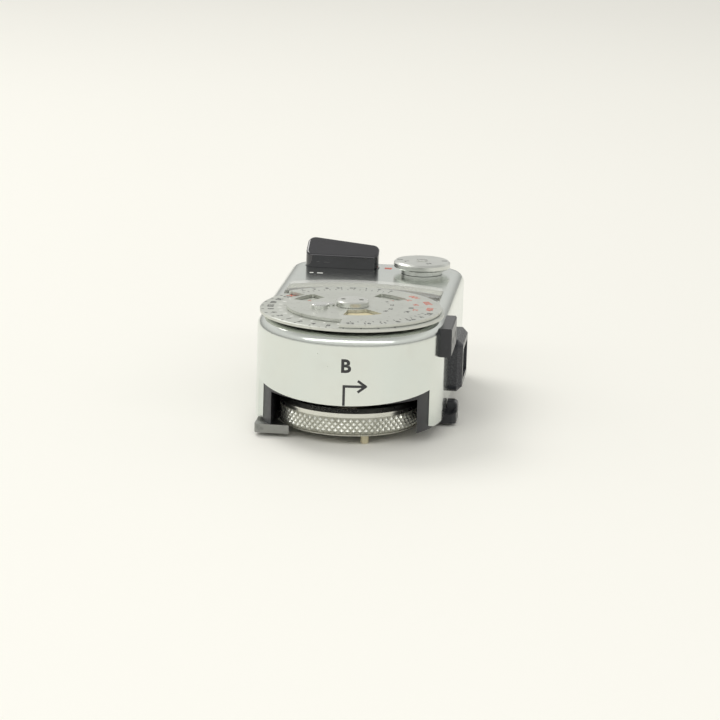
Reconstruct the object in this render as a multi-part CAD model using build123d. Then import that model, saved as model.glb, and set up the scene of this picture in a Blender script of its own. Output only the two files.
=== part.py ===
from build123d import *
import os
from math import atan2, cos, degrees, hypot, radians, sin

# Clip-on selenium light meter with a coupled exposure dial, sizes in millimetres.
# +Z is up, +Y runs away from the dial end and +X points to the cell window's side.
# The origin is the centre of the accessory foot's underside.

# Case
shoe_to_dial = 29.0  # accessory foot centre to dial axis
half_width = 14.0
foot_to_far_end = 11.0
far_corner_radius = 4.5
shell_wall = 0.7
plate_height = 17.5
shoulder_radius = 1.8
side_bottom = 2.4
rim_height = 7.0  # lower edge of the skirt at the very front
rim_rise = 0.16  # climb of that edge per millimetre of length
rim_end = 5.0  # the skirt's cut ends this far in front of the dial axis

# Base frame
shell_fit = 0.05  # clearance between the shell and the frame
frame_wall = 1.0
frame_bottom = 1.9
frame_top = 9.5
slab_bottom = 7.0  # roof of the coupling wheel's pocket
slab_thickness = 1.0
pocket_clearance = 0.6  # round the coupling wheel
leg_inner = 10.8  # half width of the pocket's front mouth
dial_bay_length = 12.5  # behind the dial axis, to the step down of the floor
floor_bottom = 3.7
floor_thickness = 1.2
foot_zone = 11.5  # the underside is raised from this far in front of the foot's centre

# Accessory foot
foot_width = 18.5
foot_length = 18.0
foot_thickness = 1.9
neck_width = 12.4
foot_screw_x = 4.0
foot_screw_y = 5.5

# Sole plate and side lug
sole_bottom = 0.6
sole_inset = 0.7  # from the case's side
sole_reach = 7.4  # left arm, in front of the dial axis
sole_far_end = 12.0  # in front of the foot's centre
sole_wheel_clearance = 0.5
lug_near = 4.3  # behind the dial axis
lug_length = 5.0
lug_width = 2.4
lug_low = 2.1
lug_high = 3.3
lug_step = 2.4
lug_pin_radius = 0.35
lug_pin_inset = 1.2
lug_pin_depth = 1.5

# Coupling wheel, pin and spindle
wheel_radius = 10.5
wheel_bottom = 1.5
wheel_height = 4.05
knurl_depth = 0.25
knurl_margin = 0.2  # plain rim above the knurled band
wheel_chamfer = 0.6
wheel_screw_radius = 0.7
wheel_screw_seat = 1.2  # above the wheel's underside
pin_radius = 0.62
pin_inset = 2.1  # from the wheel's rim
pin_angle = -67.6  # from +X, at the B position
pin_seat = 2.5  # pressed length inside the wheel
pin_seat_radius = 0.35
pin_shoulder = 0.1  # below the wheel's underside
pin_chamfer = 0.15
spindle_radius = 1.5
running_fit = 0.05
plate_hole_fit = 0.5  # round the sleeve where it passes the top plate
thrust_gap = 0.05
sleeve_wall = 0.95
sleeve_flange_radius = 4.0
sleeve_flange_height = 0.6
lift_travel = 1.2
bush_wall = 1.25
lift_wire = 0.4
lift_turns = 5

# Bridge over the dial bay
bridge_drop = 1.4  # below the top plate's underside
bridge_thickness = 0.8
bridge_half_length = 11.0
bridge_half_width = 3.6
bridge_post_x = 9.2
post_radius = 1.2

# Dial
ring_inset = 0.3  # from the case's side
ring_gap = 0.4  # above the top plate
ring_thickness = 0.5
disc_inset = 0.45  # from the ring's rim
disc_gap = 0.05
disc_thickness = 0.45
step_radius = 9.75  # inner edge of the disc's cut-away sector
step_sector = (143.0, 268.0)
readouts = ((6.4, 9.3, 136.0, 167.0), (7.2, 9.8, 38.0, 70.0), (3.1, 6.8, 265.0, 317.0))
hub_radius = 2.45
hub_height = 0.85
peg_place = (-4.6, -2.9)
peg_radius = 1.3
peg_height = 0.7
stop_place = (-3.15, -0.9)
stop_radius = 0.6
stop_height = 0.4
rivet_shank = 0.4
hub_shank_radius = 0.8
hub_neck_radius = 1.25
hub_shank_end = 3.5  # below the top plate's surface
spanner_hole_x = 1.35
spanner_hole_radius = 0.35

# Needle window and scale
window_ring_gap = 0.5
window_to_foot = 6.0  # its far edge, in front of the foot's centre
window_near = 12.5  # behind the dial axis
window_half_width = 12.0
window_corner = 0.4
window_fit = 0.05
pane_rise = 0.45
flange_width = 0.8
flange_side = 0.2
flange_thickness = 0.5
scale_gap = 0.3  # under the pointer
scale_thickness = 0.4
scale_post_places = ((-9.3, -14.5), (9.3, -14.5), (-9.3, -8.6), (9.3, -8.6))
scale_post_radius = 0.8

# Measuring movement
movement_y = -1.2
movement_base_radius = 5.6
movement_base_thickness = 0.6
yoke_bottom = 6.9
yoke_height = 6.0
yoke_inner = 3.9
yoke_outer = 5.0
core_radius = 2.4
core_bottom = 8.8
core_height = 3.4
coil_bottom = 7.6
coil_height = 5.8
coil_half_width = 3.5
coil_side = 0.7
former_side = 0.25
coil_depth = 1.6
staff_radius = 0.35
tip_radius = 0.12
jewel_fit = 0.06
jewel_radius = 0.6
pointer_gap = 0.35  # under the clock bridge
pointer_thickness = 0.18
pointer_length = 11.3
pointer_tail = 4.3
pointer_width = 0.4
pointer_rest = -33.0  # from straight ahead, towards the dial
clock_bridge_drop = 0.75  # below the top plate's underside
clock_bridge_thickness = 0.6
clock_bridge_width = 2.4
clock_post_x = 6.2
clock_post_radius = 0.8
movement_screw_x = 4.0
movement_screw_offset = 3.2  # from the movement's axis, towards the dial
spacer_angles = (30.0, 150.0, 270.0)
spacer_radius = 0.5
base_boss_radius = 1.0
base_boss_height = 0.5
hairspring_bottom = 6.75
hairspring_turns = 4
hairspring_pitch = 0.36
hairspring_strip = 0.1

# Zero adjuster
zero_place = (-5.0, -14.5)
zero_radius = 0.8
zero_throw = 0.5
zero_pin_radius = 0.35
zero_slot_fit = 0.08
zero_arm_thickness = 0.3
zero_arm_width = 1.0
fork_reach = 0.9  # past the zero screw's pin
fork_length = 2.4

# Range knob
knob_place = (7.4, 4.0)
knob_radius = 4.5
knob_height = 2.0  # above the top plate
knob_rim = 1.1
knob_neck_radius = 3.3
knob_shaft_radius = 1.2
knob_gap = 0.05
knob_screw_radius = 0.6
knob_screw_head = 0.9
knob_screw_length = 2.0
wiper_reach = 2.6
contact_angles = (0.0, 45.0, 90.0)

# Reading button
button_left = -11.4
button_right = 0.3
button_near = 4.3
button_far_left = 8.9
button_far_right = 7.3
button_front_height = 2.1  # above the top plate
button_slope = 0.5
button_corner = 1.2
button_fit = 0.1
button_travel = 0.8
button_stem_place = (-5.75, 6.4)
button_stem_radius = 1.2
button_collar_radius = 2.2
button_wire = 0.3
button_turns = 6
clamp_thickness = 0.25
clamp_gap = 0.1
clamp_inner = 3.0
clamp_outer = 4.2
clamp_half_angle = 45.0

# Cell window on the side
cell_y = -14.0
cell_lift = 0.1  # above the floor
bezel_rim = 1.0
bezel_depth = 2.0
bezel_chamfer = 0.8
lens_length = 9.0
lens_height = 6.1
lens_lip = 0.7
lens_depth = 2.1
cell_fit = 0.05
cell_thickness = 0.6
contact_thickness = 0.3
holder_thickness = 1.0

# Booster socket on the side
socket_near = -32.4
socket_length = 9.4
socket_drop = 5.0  # from the top plate down to its lower edge
socket_height = 4.3
socket_depth = 1.2
socket_pin_radius = 0.55
socket_pin_spacing = 4.1

# Resistor board under the range knob
board_thickness = 0.8
board_left = 6.8
board_right = 12.2
board_near = 0.5
board_far = 9.0
contact_height = 0.2
contact_radius = 0.35
resistor_radius = 0.55
resistor_length = 1.7

# Screws
screw_radius = 0.6
screw_head = 1.1
screw_slot = 0.25
small_screw_head = 0.9
cheese_height = 0.5
foot_screw_radius = 0.8
foot_screw_head = 1.6
foot_screw_recess = 0.05
case_screw_y = -4.0
case_screw_z = 7.5
case_end_screw_x = 3.2
case_boss_depth = 1.4
case_boss_radius = 1.4

dial_y = -shoe_to_dial
plate_underside = plate_height - shell_wall
floor_top = floor_bottom + floor_thickness
slab_top = slab_bottom + slab_thickness
frame_inset = shell_wall + shell_fit
sole_half_width = half_width - sole_inset
pin_circle = wheel_radius - pin_inset
bridge_bottom = plate_underside - bridge_drop
clock_bridge_bottom = plate_underside - clock_bridge_drop
pointer_bottom = clock_bridge_bottom - pointer_gap
scale_bottom = pointer_bottom - scale_gap - scale_thickness
knob_top = plate_height + knob_height
button_front_top = plate_height + button_front_height
socket_bottom = plate_height - socket_drop
ring_radius = half_width - ring_inset
disc_radius = ring_radius - disc_inset
window_inner = ring_radius + window_ring_gap
window_outer = shoe_to_dial - window_to_foot
cell_z = floor_top + cell_lift + lens_height / 2
bezel_length = lens_length + 2 * bezel_rim
bezel_height = lens_height + 2 * bezel_rim
wheel_top = wheel_bottom + wheel_height
sleeve_inner = spindle_radius + running_fit
sleeve_outer = sleeve_inner + sleeve_wall
bush_inner = sleeve_outer + running_fit
bush_outer = bush_inner + bush_wall
sleeve_bottom = wheel_top + 0.4
lower_bush_top = slab_top + 0.5
sleeve_flange_bottom = lower_bush_top + thrust_gap
ring_bottom = plate_height + ring_gap
sleeve_top = ring_bottom - 0.45
ring_top = ring_bottom + ring_thickness
disc_bottom = ring_top + disc_gap
disc_top = disc_bottom + disc_thickness
hub_bottom = disc_top + disc_gap
upper_bush_bottom = bridge_bottom - 0.4
movement_base_top = floor_top + movement_base_thickness
clamp_top = pointer_bottom - clamp_gap
clamp_bottom = clamp_top - clamp_thickness
button_flange_top = plate_underside - 0.05
button_flange_bottom = button_flange_top - 0.6
stem_collar_bottom = clamp_bottom - 0.65
button_guide_top = 10.5
bay_half_length = bezel_length / 2 + 0.2
lug_pin_z = (sole_bottom + frame_bottom) / 2
movement_screw_y = movement_y - movement_screw_offset
movement_screw_places = ((-movement_screw_x, movement_screw_y), (movement_screw_x, movement_screw_y))
zero_arm_bottom = movement_base_top + thrust_gap
zero_dx = zero_place[0]
zero_dy = zero_place[1] - movement_y
zero_reach = hypot(zero_dx, zero_dy)
zero_heading = degrees(atan2(zero_dy, zero_dx))
wiper_bottom = floor_top + board_thickness + contact_height + thrust_gap


def block(x0, x1, y0, y1, z0, z1):
    """Box between two opposite corners."""
    return Pos((x0 + x1) / 2, (y0 + y1) / 2, (z0 + z1) / 2) * Box(x1 - x0, y1 - y0, z1 - z0)


def rod(radius, z0, z1, x=0.0, y=0.0):
    """Upright cylinder."""
    return Pos(x, y, (z0 + z1) / 2) * Cylinder(radius, z1 - z0)


def tube(inner, outer, z0, z1, x=0.0, y=0.0):
    """Upright tube."""
    return rod(outer, z0, z1, x, y) - rod(inner, z0 - 1, z1 + 1, x, y)


def side_rod(radius, x0, x1, y, z):
    """Cylinder along X."""
    return Pos((x0 + x1) / 2, y, z) * Rot(0, 90, 0) * Cylinder(radius, abs(x1 - x0))


def prism(sketch, z0, z1):
    """A sketch made into a solid between two heights."""
    return Pos(0, 0, z0) * extrude(sketch, z1 - z0, dir=(0, 0, 1))


def side_prism(sketch, x0, x1):
    """A profile drawn in Y and Z made into a solid between two X values."""
    return Pos(x0, 0, 0) * (Plane.YZ * extrude(sketch, x1 - x0, dir=(0, 0, 1)))


def polar(radius, angle, centre=(0.0, 0.0)):
    """Point at a radius and an angle in degrees."""
    return (centre[0] + radius * cos(radians(angle)), centre[1] + radius * sin(radians(angle)))


def sector(inner, outer, start, end):
    """Ring sector about the origin, under 140 degrees wide."""
    wedge = Polygon((0, 0), polar(3 * outer, start), polar(3 * outer, end), align=None)
    return (Circle(outer) - Circle(inner)) & wedge


def coil_spring(radius, wire, z0, z1, turns, x, y):
    """Round-wire compression spring between two heights."""
    height = z1 - z0 - wire
    path = Helix(height / turns, height, radius)
    section = Plane(origin=path @ 0, z_dir=path % 0) * Circle(wire / 2)
    return Pos(x, y, z0 + wire / 2) * sweep(section, path=path)


def body_outline(inset):
    """Plan of the case: round at the dial end, soft corners at the far end."""
    half = half_width - inset
    far = foot_to_far_end - inset
    length = far + shoe_to_dial
    flank = Pos(0, far - length / 2) * Rectangle(2 * half, length)
    flank = fillet(flank.vertices().group_by(Axis.Y)[-1], far_corner_radius - inset)
    return flank + Pos(0, dial_y) * Circle(half)


def case_solid(inset, z0, z1, shoulder):
    """Solid of the case's plan with a rounded top edge."""
    solid = prism(body_outline(inset), z0, z1)
    return fillet(solid.edges().group_by(Axis.Z)[-1], shoulder)


def window_outline(grow, side_grow):
    """Plan of the needle window, an arc band with straight ends."""
    band = Circle(window_outer + grow) - Circle(window_inner - grow)
    depth = window_outer + grow
    near = window_near - grow
    limits = Pos(0, (near + depth) / 2) * Rectangle(2 * (window_half_width + side_grow), depth - near)
    return Pos(0, dial_y) * (band & limits)


def button_outline(grow):
    """Plan of the reading button, deeper at its outer end."""
    left = button_left - grow
    right = button_right + grow
    near = button_near - grow
    corners = ((left, near), (right, near), (right, button_far_right + grow), (left, button_far_left + grow))
    plan = Polygon(*corners, align=None)
    return fillet(plan.vertices(), button_corner + grow)


def cell_block(x0, x1, length, height):
    """Block centred on the cell window."""
    return block(x0, x1, cell_y - length / 2, cell_y + length / 2, cell_z - height / 2, cell_z + height / 2)


def screw_up(x, y, z_head, z_end, radius, head):
    """Countersunk screw entered from below, slotted."""
    sink = head - radius
    body = rod(radius, z_head, z_end, x, y)
    body += Pos(x, y, z_head + sink / 2) * Cone(head, radius, sink)
    return body - block(x - head, x + head, y - screw_slot / 2, y + screw_slot / 2, z_head - 1, z_head + 0.3)


def screw_down(x, y, z_head, z_end, radius, head):
    """Cheese-head screw entered from above; its head stands on z_head."""
    top = z_head + cheese_height
    body = rod(radius, z_end, z_head, x, y) + rod(head, z_head, top, x, y)
    half = screw_slot / 2
    return body - block(x - head, x + head, y - half, y + half, top - screw_slot, top + 1)


def case_screw_sites():
    """Placements of the case screws: Z of each points out of the case."""
    left = Pos(-half_width, case_screw_y, case_screw_z) * Rot(0, -90, 0)
    right = Pos(half_width, case_screw_y, case_screw_z) * Rot(0, 90, 0)
    end = Pos(case_end_screw_x, foot_to_far_end, case_screw_z) * Rot(-90, 0, 0)
    return (left, right, end)


def case_screw(grow):
    """Countersunk screw with its head flush at the origin, pointing down."""
    length = frame_inset + frame_wall + case_boss_depth - 0.2
    sink = shell_wall
    shank = Pos(0, 0, -length / 2) * Cylinder(screw_radius + grow, length)
    return shank + Pos(0, 0, -sink / 2) * Cone(screw_radius + grow, screw_head + grow, sink)


def make_top_shell():
    shell = case_solid(0, side_bottom, plate_height, shoulder_radius)
    shell -= case_solid(shell_wall, side_bottom - 1, plate_underside, shoulder_radius - shell_wall)
    reach = half_width + 1
    front = dial_y - reach
    back = dial_y - rim_end
    low = rim_height - rim_rise
    rim = Polygon((front, 0), (back, 0), (back, low + rim_rise * (back - front)), (front, low), align=None)
    shell -= side_prism(rim, -reach, reach)
    far = foot_to_far_end + 1
    shell -= block(-reach, reach, -foot_zone, far, 0, floor_bottom)
    shell -= rod(sleeve_outer + plate_hole_fit, plate_underside - 1, plate_height + 1, 0, dial_y)
    pane_hole = window_outline(0, 0)
    pane_hole = fillet(pane_hole.vertices(), window_corner)
    shell -= prism(pane_hole, plate_underside - 0.5, plate_height + 1)
    shell -= prism(button_outline(button_fit), plate_underside - 0.5, plate_height + 1)
    shell -= rod(knob_shaft_radius + running_fit + 0.75, plate_underside - 1, plate_height + 1, *knob_place)
    shell -= cell_block(half_width - 2, half_width + 1, lens_length, lens_height)
    shell -= socket_plug(cell_fit)
    for site in case_screw_sites():
        shell -= site * case_screw(0)
    return shell


def make_base_frame():
    frame = prism(body_outline(frame_inset), frame_bottom, frame_top)
    room = body_outline(frame_inset + frame_wall)
    step_y = dial_y + dial_bay_length
    far = foot_to_far_end + 1
    reach = half_width + 1
    frame -= prism(room, slab_top, frame_top + 1)
    low_room = room & Pos(0, (step_y + far) / 2) * Rectangle(2 * reach, far - step_y)
    frame -= prism(low_room, floor_top, frame_top + 1)
    frame -= rod(wheel_radius + pocket_clearance, 0, slab_bottom, 0, dial_y)
    frame -= block(-leg_inner, leg_inner, dial_y - reach, dial_y, 0, slab_bottom)
    frame -= block(-reach, reach, -foot_zone, far, 0, floor_bottom)
    bay = (cell_y - bay_half_length, cell_y + bay_half_length)
    frame -= block(holder_back(), reach, *bay, floor_top, frame_top + 1)
    for site in case_screw_sites():
        boss_length = frame_wall + case_boss_depth
        boss = Pos(0, 0, -frame_inset - boss_length / 2) * Cylinder(case_boss_radius, boss_length)
        frame += site * boss
        frame -= site * case_screw(0)
    frame -= rod(bush_outer, slab_bottom - 1, slab_top + 1, 0, dial_y)
    for x in (-foot_screw_x, foot_screw_x):
        for y in (-foot_screw_y, foot_screw_y):
            frame -= rod(foot_screw_radius, floor_bottom - 1, floor_top - 0.2, x, y)
    for x, y in sole_screw_places():
        frame -= rod(screw_radius, frame_bottom - 1, floor_top - 0.8, x, y)
    frame -= rod(zero_radius + running_fit, frame_bottom - 1, floor_top + 1, *zero_place)
    frame -= rod(zero_radius + 0.4, frame_bottom - 1, floor_bottom, *zero_place)
    for x in (-bridge_post_x, bridge_post_x):
        frame += rod(post_radius, slab_top, bridge_bottom, x, dial_y)
        frame -= rod(screw_radius, bridge_bottom - 2, bridge_bottom + 1, x, dial_y)
    return frame


def make_accessory_foot():
    foot = block(-foot_width / 2, foot_width / 2, -foot_length / 2, foot_length / 2, 0, foot_thickness)
    foot = chamfer(foot.edges().filter_by(Axis.Z), 1.0)
    foot = chamfer(foot.edges().group_by(Axis.Z)[0], 0.25)
    half_neck = neck_width / 2
    foot += block(-half_neck, half_neck, -foot_length / 2, foot_length / 2, foot_thickness, floor_bottom)
    for x in (-foot_screw_x, foot_screw_x):
        for y in (-foot_screw_y, foot_screw_y):
            sink = foot_screw_head - foot_screw_radius
            foot -= rod(foot_screw_radius, -1, floor_bottom + 1, x, y)
            foot -= Pos(x, y, foot_screw_recess + sink / 2) * Cone(foot_screw_head, foot_screw_radius, sink)
            foot -= rod(foot_screw_head, -1, foot_screw_recess + 0.001, x, y)
    return foot


def make_foot_screws():
    places = [(x, y) for x in (-foot_screw_x, foot_screw_x) for y in (-foot_screw_y, foot_screw_y)]
    end = floor_top - 0.2
    return [screw_up(x, y, foot_screw_recess, end, foot_screw_radius, foot_screw_head) for x, y in places]


def sole_screw_places():
    y = -(sole_far_end + foot_zone) / 2 - 2.4
    return ((-10.8, y), (10.8, y), (4.0, y))


def make_sole_plate():
    near = dial_y - sole_reach
    plate = block(-sole_half_width, sole_half_width, near, -sole_far_end, sole_bottom, frame_bottom)
    plate = fillet(plate.edges().filter_by(Axis.Z), 0.5)
    plate -= rod(wheel_radius + sole_wheel_clearance, 0, frame_bottom + 1, 0, dial_y)
    plate -= block(0, sole_half_width + 1, near - 1, dial_y + lug_near, 0, frame_bottom + 1)
    for x, y in sole_screw_places():
        plate -= rod(screw_radius, 0, frame_bottom + 1, x, y)
        plate -= Pos(x, y, sole_bottom + 0.25) * Cone(screw_head, screw_radius, 0.5)
    plate -= rod(zero_radius + 0.6, 0, frame_bottom + 1, *zero_place)
    for y in lug_pin_rows():
        plate -= side_rod(lug_pin_radius, sole_half_width - lug_pin_depth, sole_half_width + 1, y, lug_pin_z)
    return plate


def make_sole_screws():
    return [screw_up(x, y, sole_bottom, floor_top - 0.8, screw_radius, screw_head)
            for x, y in sole_screw_places()]


def lug_pin_rows():
    near = dial_y + lug_near
    return (near + lug_pin_inset, near + lug_length - lug_pin_inset)


def make_side_lug():
    near = dial_y + lug_near
    far = near + lug_length
    low = sole_bottom - 0.1
    step = near + lug_step
    profile = Polygon((near, low), (far, low), (far, lug_high), (step, lug_high), (step - 0.5, lug_low),
                      (near, lug_low), align=None)
    profile = fillet(profile.vertices().group_by(Axis.Y)[-1], 0.6)
    lug = side_prism(profile, sole_half_width, sole_half_width + lug_width)
    lug = fillet(lug.edges().filter_by(Axis.Z).group_by(Axis.X)[-1], 0.7)
    scoop_x = sole_half_width + lug_width / 2
    scoop = Pos(scoop_x, near + 0.4, lug_low + 0.9) * Rot(90, 0, 0) * Cylinder(1.2, 4)
    lug -= scoop
    lug -= block(0, half_width + 0.1, near - 1, far + 1, side_bottom - 0.1, lug_high + 1)
    for y in lug_pin_rows():
        lug -= side_rod(lug_pin_radius, 0, sole_half_width + 1, y, lug_pin_z)
    return lug


def make_lug_pins():
    start = sole_half_width - lug_pin_depth
    return [side_rod(lug_pin_radius, start, sole_half_width + 1, y, lug_pin_z) for y in lug_pin_rows()]


def make_case_screws():
    screws = []
    for site in case_screw_sites():
        slot = Box(2 * screw_head + 1, screw_slot, 0.5)
        screws.append(site * (case_screw(0) - slot))
    return screws


def make_lower_bush():
    bush = tube(bush_inner, bush_outer, slab_bottom, slab_top, 0, dial_y)
    return bush + tube(bush_inner, bush_outer + 0.7, slab_top, lower_bush_top, 0, dial_y)


def make_upper_bush():
    bush = tube(bush_inner, bush_outer - 0.5, bridge_bottom, bridge_bottom + bridge_thickness, 0, dial_y)
    return bush + tube(bush_inner, bush_outer + 0.4, upper_bush_bottom, bridge_bottom, 0, dial_y)


def make_dial_bridge():
    near = dial_y - bridge_half_width
    far = dial_y + bridge_half_width
    top = bridge_bottom + bridge_thickness
    plate = block(-bridge_half_length, bridge_half_length, near, far, bridge_bottom, top)
    plate = fillet(plate.edges().filter_by(Axis.Z), 1.5)
    plate -= rod(bush_outer - 0.5, 0, plate_height, 0, dial_y)
    for x in (-bridge_post_x, bridge_post_x):
        plate -= rod(screw_radius, 0, plate_height, x, dial_y)
    return plate


def make_inside_screws():
    """Two screws of the dial bridge and two of the movement's base."""
    head = bridge_bottom + bridge_thickness
    screws = [screw_down(x, dial_y, head, bridge_bottom - 2, screw_radius, screw_head)
              for x in (-bridge_post_x, bridge_post_x)]
    for x, y in movement_screw_places:
        screws.append(screw_down(x, y, movement_base_top, floor_top, screw_radius, small_screw_head))
    return screws


def make_lift_sleeve():
    sleeve = rod(sleeve_outer, sleeve_bottom, sleeve_top, 0, dial_y)
    flange_top = sleeve_flange_bottom + sleeve_flange_height
    sleeve += rod(sleeve_flange_radius, sleeve_flange_bottom, flange_top, 0, dial_y)
    return sleeve - rod(sleeve_inner, 0, plate_height + 1, 0, dial_y)


def make_lift_spring():
    low = sleeve_flange_bottom + sleeve_flange_height
    radius = sleeve_outer + 0.2 + lift_wire / 2
    return coil_spring(radius, lift_wire, low, upper_bush_bottom, lift_turns, 0, dial_y)


def make_coupling_wheel():
    wheel = rod(wheel_radius, wheel_bottom, wheel_top, 0, dial_y)
    wheel = chamfer(wheel.edges().group_by(Axis.Z)[-1], wheel_chamfer)
    wheel = chamfer(wheel.edges().group_by(Axis.Z)[0], wheel_chamfer / 2)
    low = wheel_bottom + wheel_chamfer / 2
    high = wheel_top - wheel_chamfer - knurl_margin
    wheel -= tube(wheel_radius - knurl_depth, wheel_radius + 1, low, high, 0, dial_y)
    wheel += rod(sleeve_outer - 0.2, wheel_top, sleeve_bottom - thrust_gap, 0, dial_y)
    wheel -= tube(sleeve_outer + 1.2, wheel_radius - 3.2, 0, wheel_bottom + 0.4, 0, dial_y)
    wheel -= rod(2 * spindle_radius, 0, wheel_bottom + wheel_screw_seat, 0, dial_y)
    wheel -= rod(spindle_radius, 0, wheel_top + 1, 0, dial_y)
    x, y = polar(pin_circle, pin_angle, (0, dial_y))
    return wheel - rod(pin_seat_radius, 0, wheel_bottom + pin_seat, x, y)


def make_coupling_pin():
    x, y = polar(pin_circle, pin_angle, (0, dial_y))
    pin = rod(pin_radius, 0, wheel_bottom - pin_shoulder, x, y)
    pin = chamfer(pin.edges().group_by(Axis.Z)[0], pin_chamfer)
    return pin + rod(pin_seat_radius, pin_chamfer, wheel_bottom + pin_seat, x, y)


def make_spindle():
    spindle = rod(spindle_radius, wheel_bottom + wheel_screw_seat, ring_top, 0, dial_y)
    spindle -= rod(wheel_screw_radius, 0, wheel_top, 0, dial_y)
    return spindle - rod(hub_shank_radius, plate_height - hub_shank_end, ring_top + 1, 0, dial_y)


def make_wheel_screw():
    head = 2 * spindle_radius - 0.3
    low = wheel_bottom + 0.3
    screw = rod(head, low, wheel_bottom + wheel_screw_seat, 0, dial_y)
    screw += rod(wheel_screw_radius, low, wheel_top, 0, dial_y)
    return screw - block(-head, head, dial_y - 0.3, dial_y + 0.3, 0, low + 0.4)


def make_speed_ring():
    ring = rod(ring_radius, ring_bottom, ring_top, 0, dial_y)
    ring = chamfer(ring.edges().group_by(Axis.Z)[-1], 0.12)
    ring += rod(sleeve_outer - 0.2, sleeve_top + thrust_gap, ring_bottom, 0, dial_y)
    return ring - rod(spindle_radius, 0, ring_top + 1, 0, dial_y)


def make_dial_hub():
    hub = rod(hub_radius, hub_bottom, hub_bottom + hub_height, 0, dial_y)
    hub = chamfer(hub.edges().group_by(Axis.Z)[-1], 0.2)
    hub += rod(hub_neck_radius, ring_top, hub_bottom, 0, dial_y)
    hub += rod(hub_shank_radius, plate_height - hub_shank_end, ring_top, 0, dial_y)
    for x in (-spanner_hole_x, spanner_hole_x):
        hub -= rod(spanner_hole_radius, hub_bottom + 0.3, hub_bottom + 2, x, dial_y)
    return hub


def make_calculator_disc():
    plan = Circle(disc_radius) - Circle(hub_neck_radius + running_fit)
    plan -= sector(step_radius, disc_radius + 1, *step_sector)
    for readout in readouts:
        opening = sector(*readout)
        plan -= fillet(opening.vertices(), 0.3)
    for place in (peg_place, stop_place):
        plan -= Pos(*place) * Circle(rivet_shank)
    disc = prism(plan, disc_bottom, disc_top)
    return Pos(0, dial_y, 0) * disc


def disc_rivet(place, radius, height):
    x = place[0]
    y = place[1] + dial_y
    head = rod(radius, disc_top, disc_top + height, x, y)
    head = chamfer(head.edges().group_by(Axis.Z)[-1], 0.15)
    return head + rod(rivet_shank, disc_bottom, disc_top, x, y)


def make_window_pane():
    plug = window_outline(-window_fit, -window_fit)
    plug = fillet(plug.vertices(), window_corner)
    pane = prism(plug, plate_underside, plate_height + pane_rise)
    pane = chamfer(pane.edges().group_by(Axis.Z)[-1], 0.15)
    flange = window_outline(flange_width, flange_side)
    return pane + prism(flange, plate_underside - flange_thickness, plate_underside)


def make_scale_plate():
    plan = window_outline(0.4, 0.2)
    return prism(plan, scale_bottom, scale_bottom + scale_thickness)


def make_scale_posts():
    return [rod(scale_post_radius, floor_top, scale_bottom, x, y) for x, y in scale_post_places]


def make_movement_base():
    y = movement_y
    base = rod(movement_base_radius, floor_top, movement_base_top, 0, y)
    for x in (-clock_post_x, clock_post_x):
        base += rod(1.4, floor_top, movement_base_top, x, y)
    base += rod(base_boss_radius, movement_base_top, movement_base_top + base_boss_height, 0, y)
    base -= rod(jewel_radius, floor_top - 1, movement_base_top + 1, 0, y)
    for place in movement_screw_places:
        base -= rod(screw_radius, floor_top - 1, movement_base_top + 1, *place)
    return base


def make_yoke_ring():
    return tube(yoke_inner, yoke_outer, yoke_bottom, yoke_bottom + yoke_height, 0, movement_y)


def make_movement_posts():
    """Three short posts under the yoke and two tall ones under the clock bridge."""
    middle = (yoke_inner + yoke_outer) / 2
    places = [polar(middle, angle, (0, movement_y)) for angle in spacer_angles]
    posts = [rod(spacer_radius, movement_base_top, yoke_bottom, x, y) for x, y in places]
    for x in (-clock_post_x, clock_post_x):
        posts.append(rod(clock_post_radius, movement_base_top, clock_bridge_bottom, x, movement_y))
    return posts


def make_core_magnet():
    return rod(core_radius, core_bottom, core_bottom + core_height, 0, movement_y)


def make_core_holder():
    middle = core_bottom + core_height / 2
    bars = []
    for side in (-1, 1):
        y0, y1 = sorted((side * (core_radius - 0.5), side * (yoke_inner + 0.5)))
        bar = block(-0.6, 0.6, movement_y + y0, movement_y + y1, middle - 0.4, middle + 0.4)
        bar -= rod(core_radius, 0, frame_top + 10, 0, movement_y)
        bars.append(bar & rod(yoke_inner, 0, frame_top + 10, 0, movement_y))
    return bars


def coil_loop(outer_inset, inner_inset, turn):
    """Upright rectangular loop round the core, turned about the movement's axis."""
    low = coil_bottom
    high = coil_bottom + coil_height
    half = coil_half_width
    depth = coil_depth / 2
    edge = half - outer_inset
    loop = block(-edge, edge, -depth, depth, low + outer_inset, high - outer_inset)
    loop -= block(-half + inner_inset, half - inner_inset, -depth - 1, depth + 1,
                  low + inner_inset, high - inner_inset)
    return Pos(0, movement_y, 0) * (Rot(0, 0, turn) * loop)


def make_coil_winding():
    return coil_loop(0, coil_side - former_side, pointer_rest)


def make_coil_former():
    return coil_loop(coil_side - former_side, coil_side, pointer_rest)


def make_pivot_staff():
    y = movement_y
    coil_top = coil_bottom + coil_height
    high = pointer_bottom + pointer_thickness
    upper = rod(staff_radius, coil_top, high, 0, y) + rod(tip_radius, high, clock_bridge_bottom + 0.2, 0, y)
    lower_end = movement_base_top + 0.6
    lower = rod(staff_radius, lower_end, coil_bottom, 0, y)
    lower += rod(tip_radius, movement_base_top + 0.35, lower_end, 0, y)
    return [upper, lower]


def make_pointer():
    half = pointer_width / 2
    tip = half / 3
    blade = Polygon((half, 0), (-half, 0), (-tip, -pointer_length), (tip, -pointer_length), align=None)
    tail = Pos(0, pointer_tail / 2) * Rectangle(pointer_width, pointer_tail)
    weight = Pos(0, pointer_tail - 1) * Circle(0.7)
    plan = blade + tail + weight + Circle(0.8) - Circle(staff_radius)
    pointer = prism(plan, pointer_bottom, pointer_bottom + pointer_thickness)
    return Pos(0, movement_y, 0) * Rot(0, 0, pointer_rest) * pointer


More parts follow.
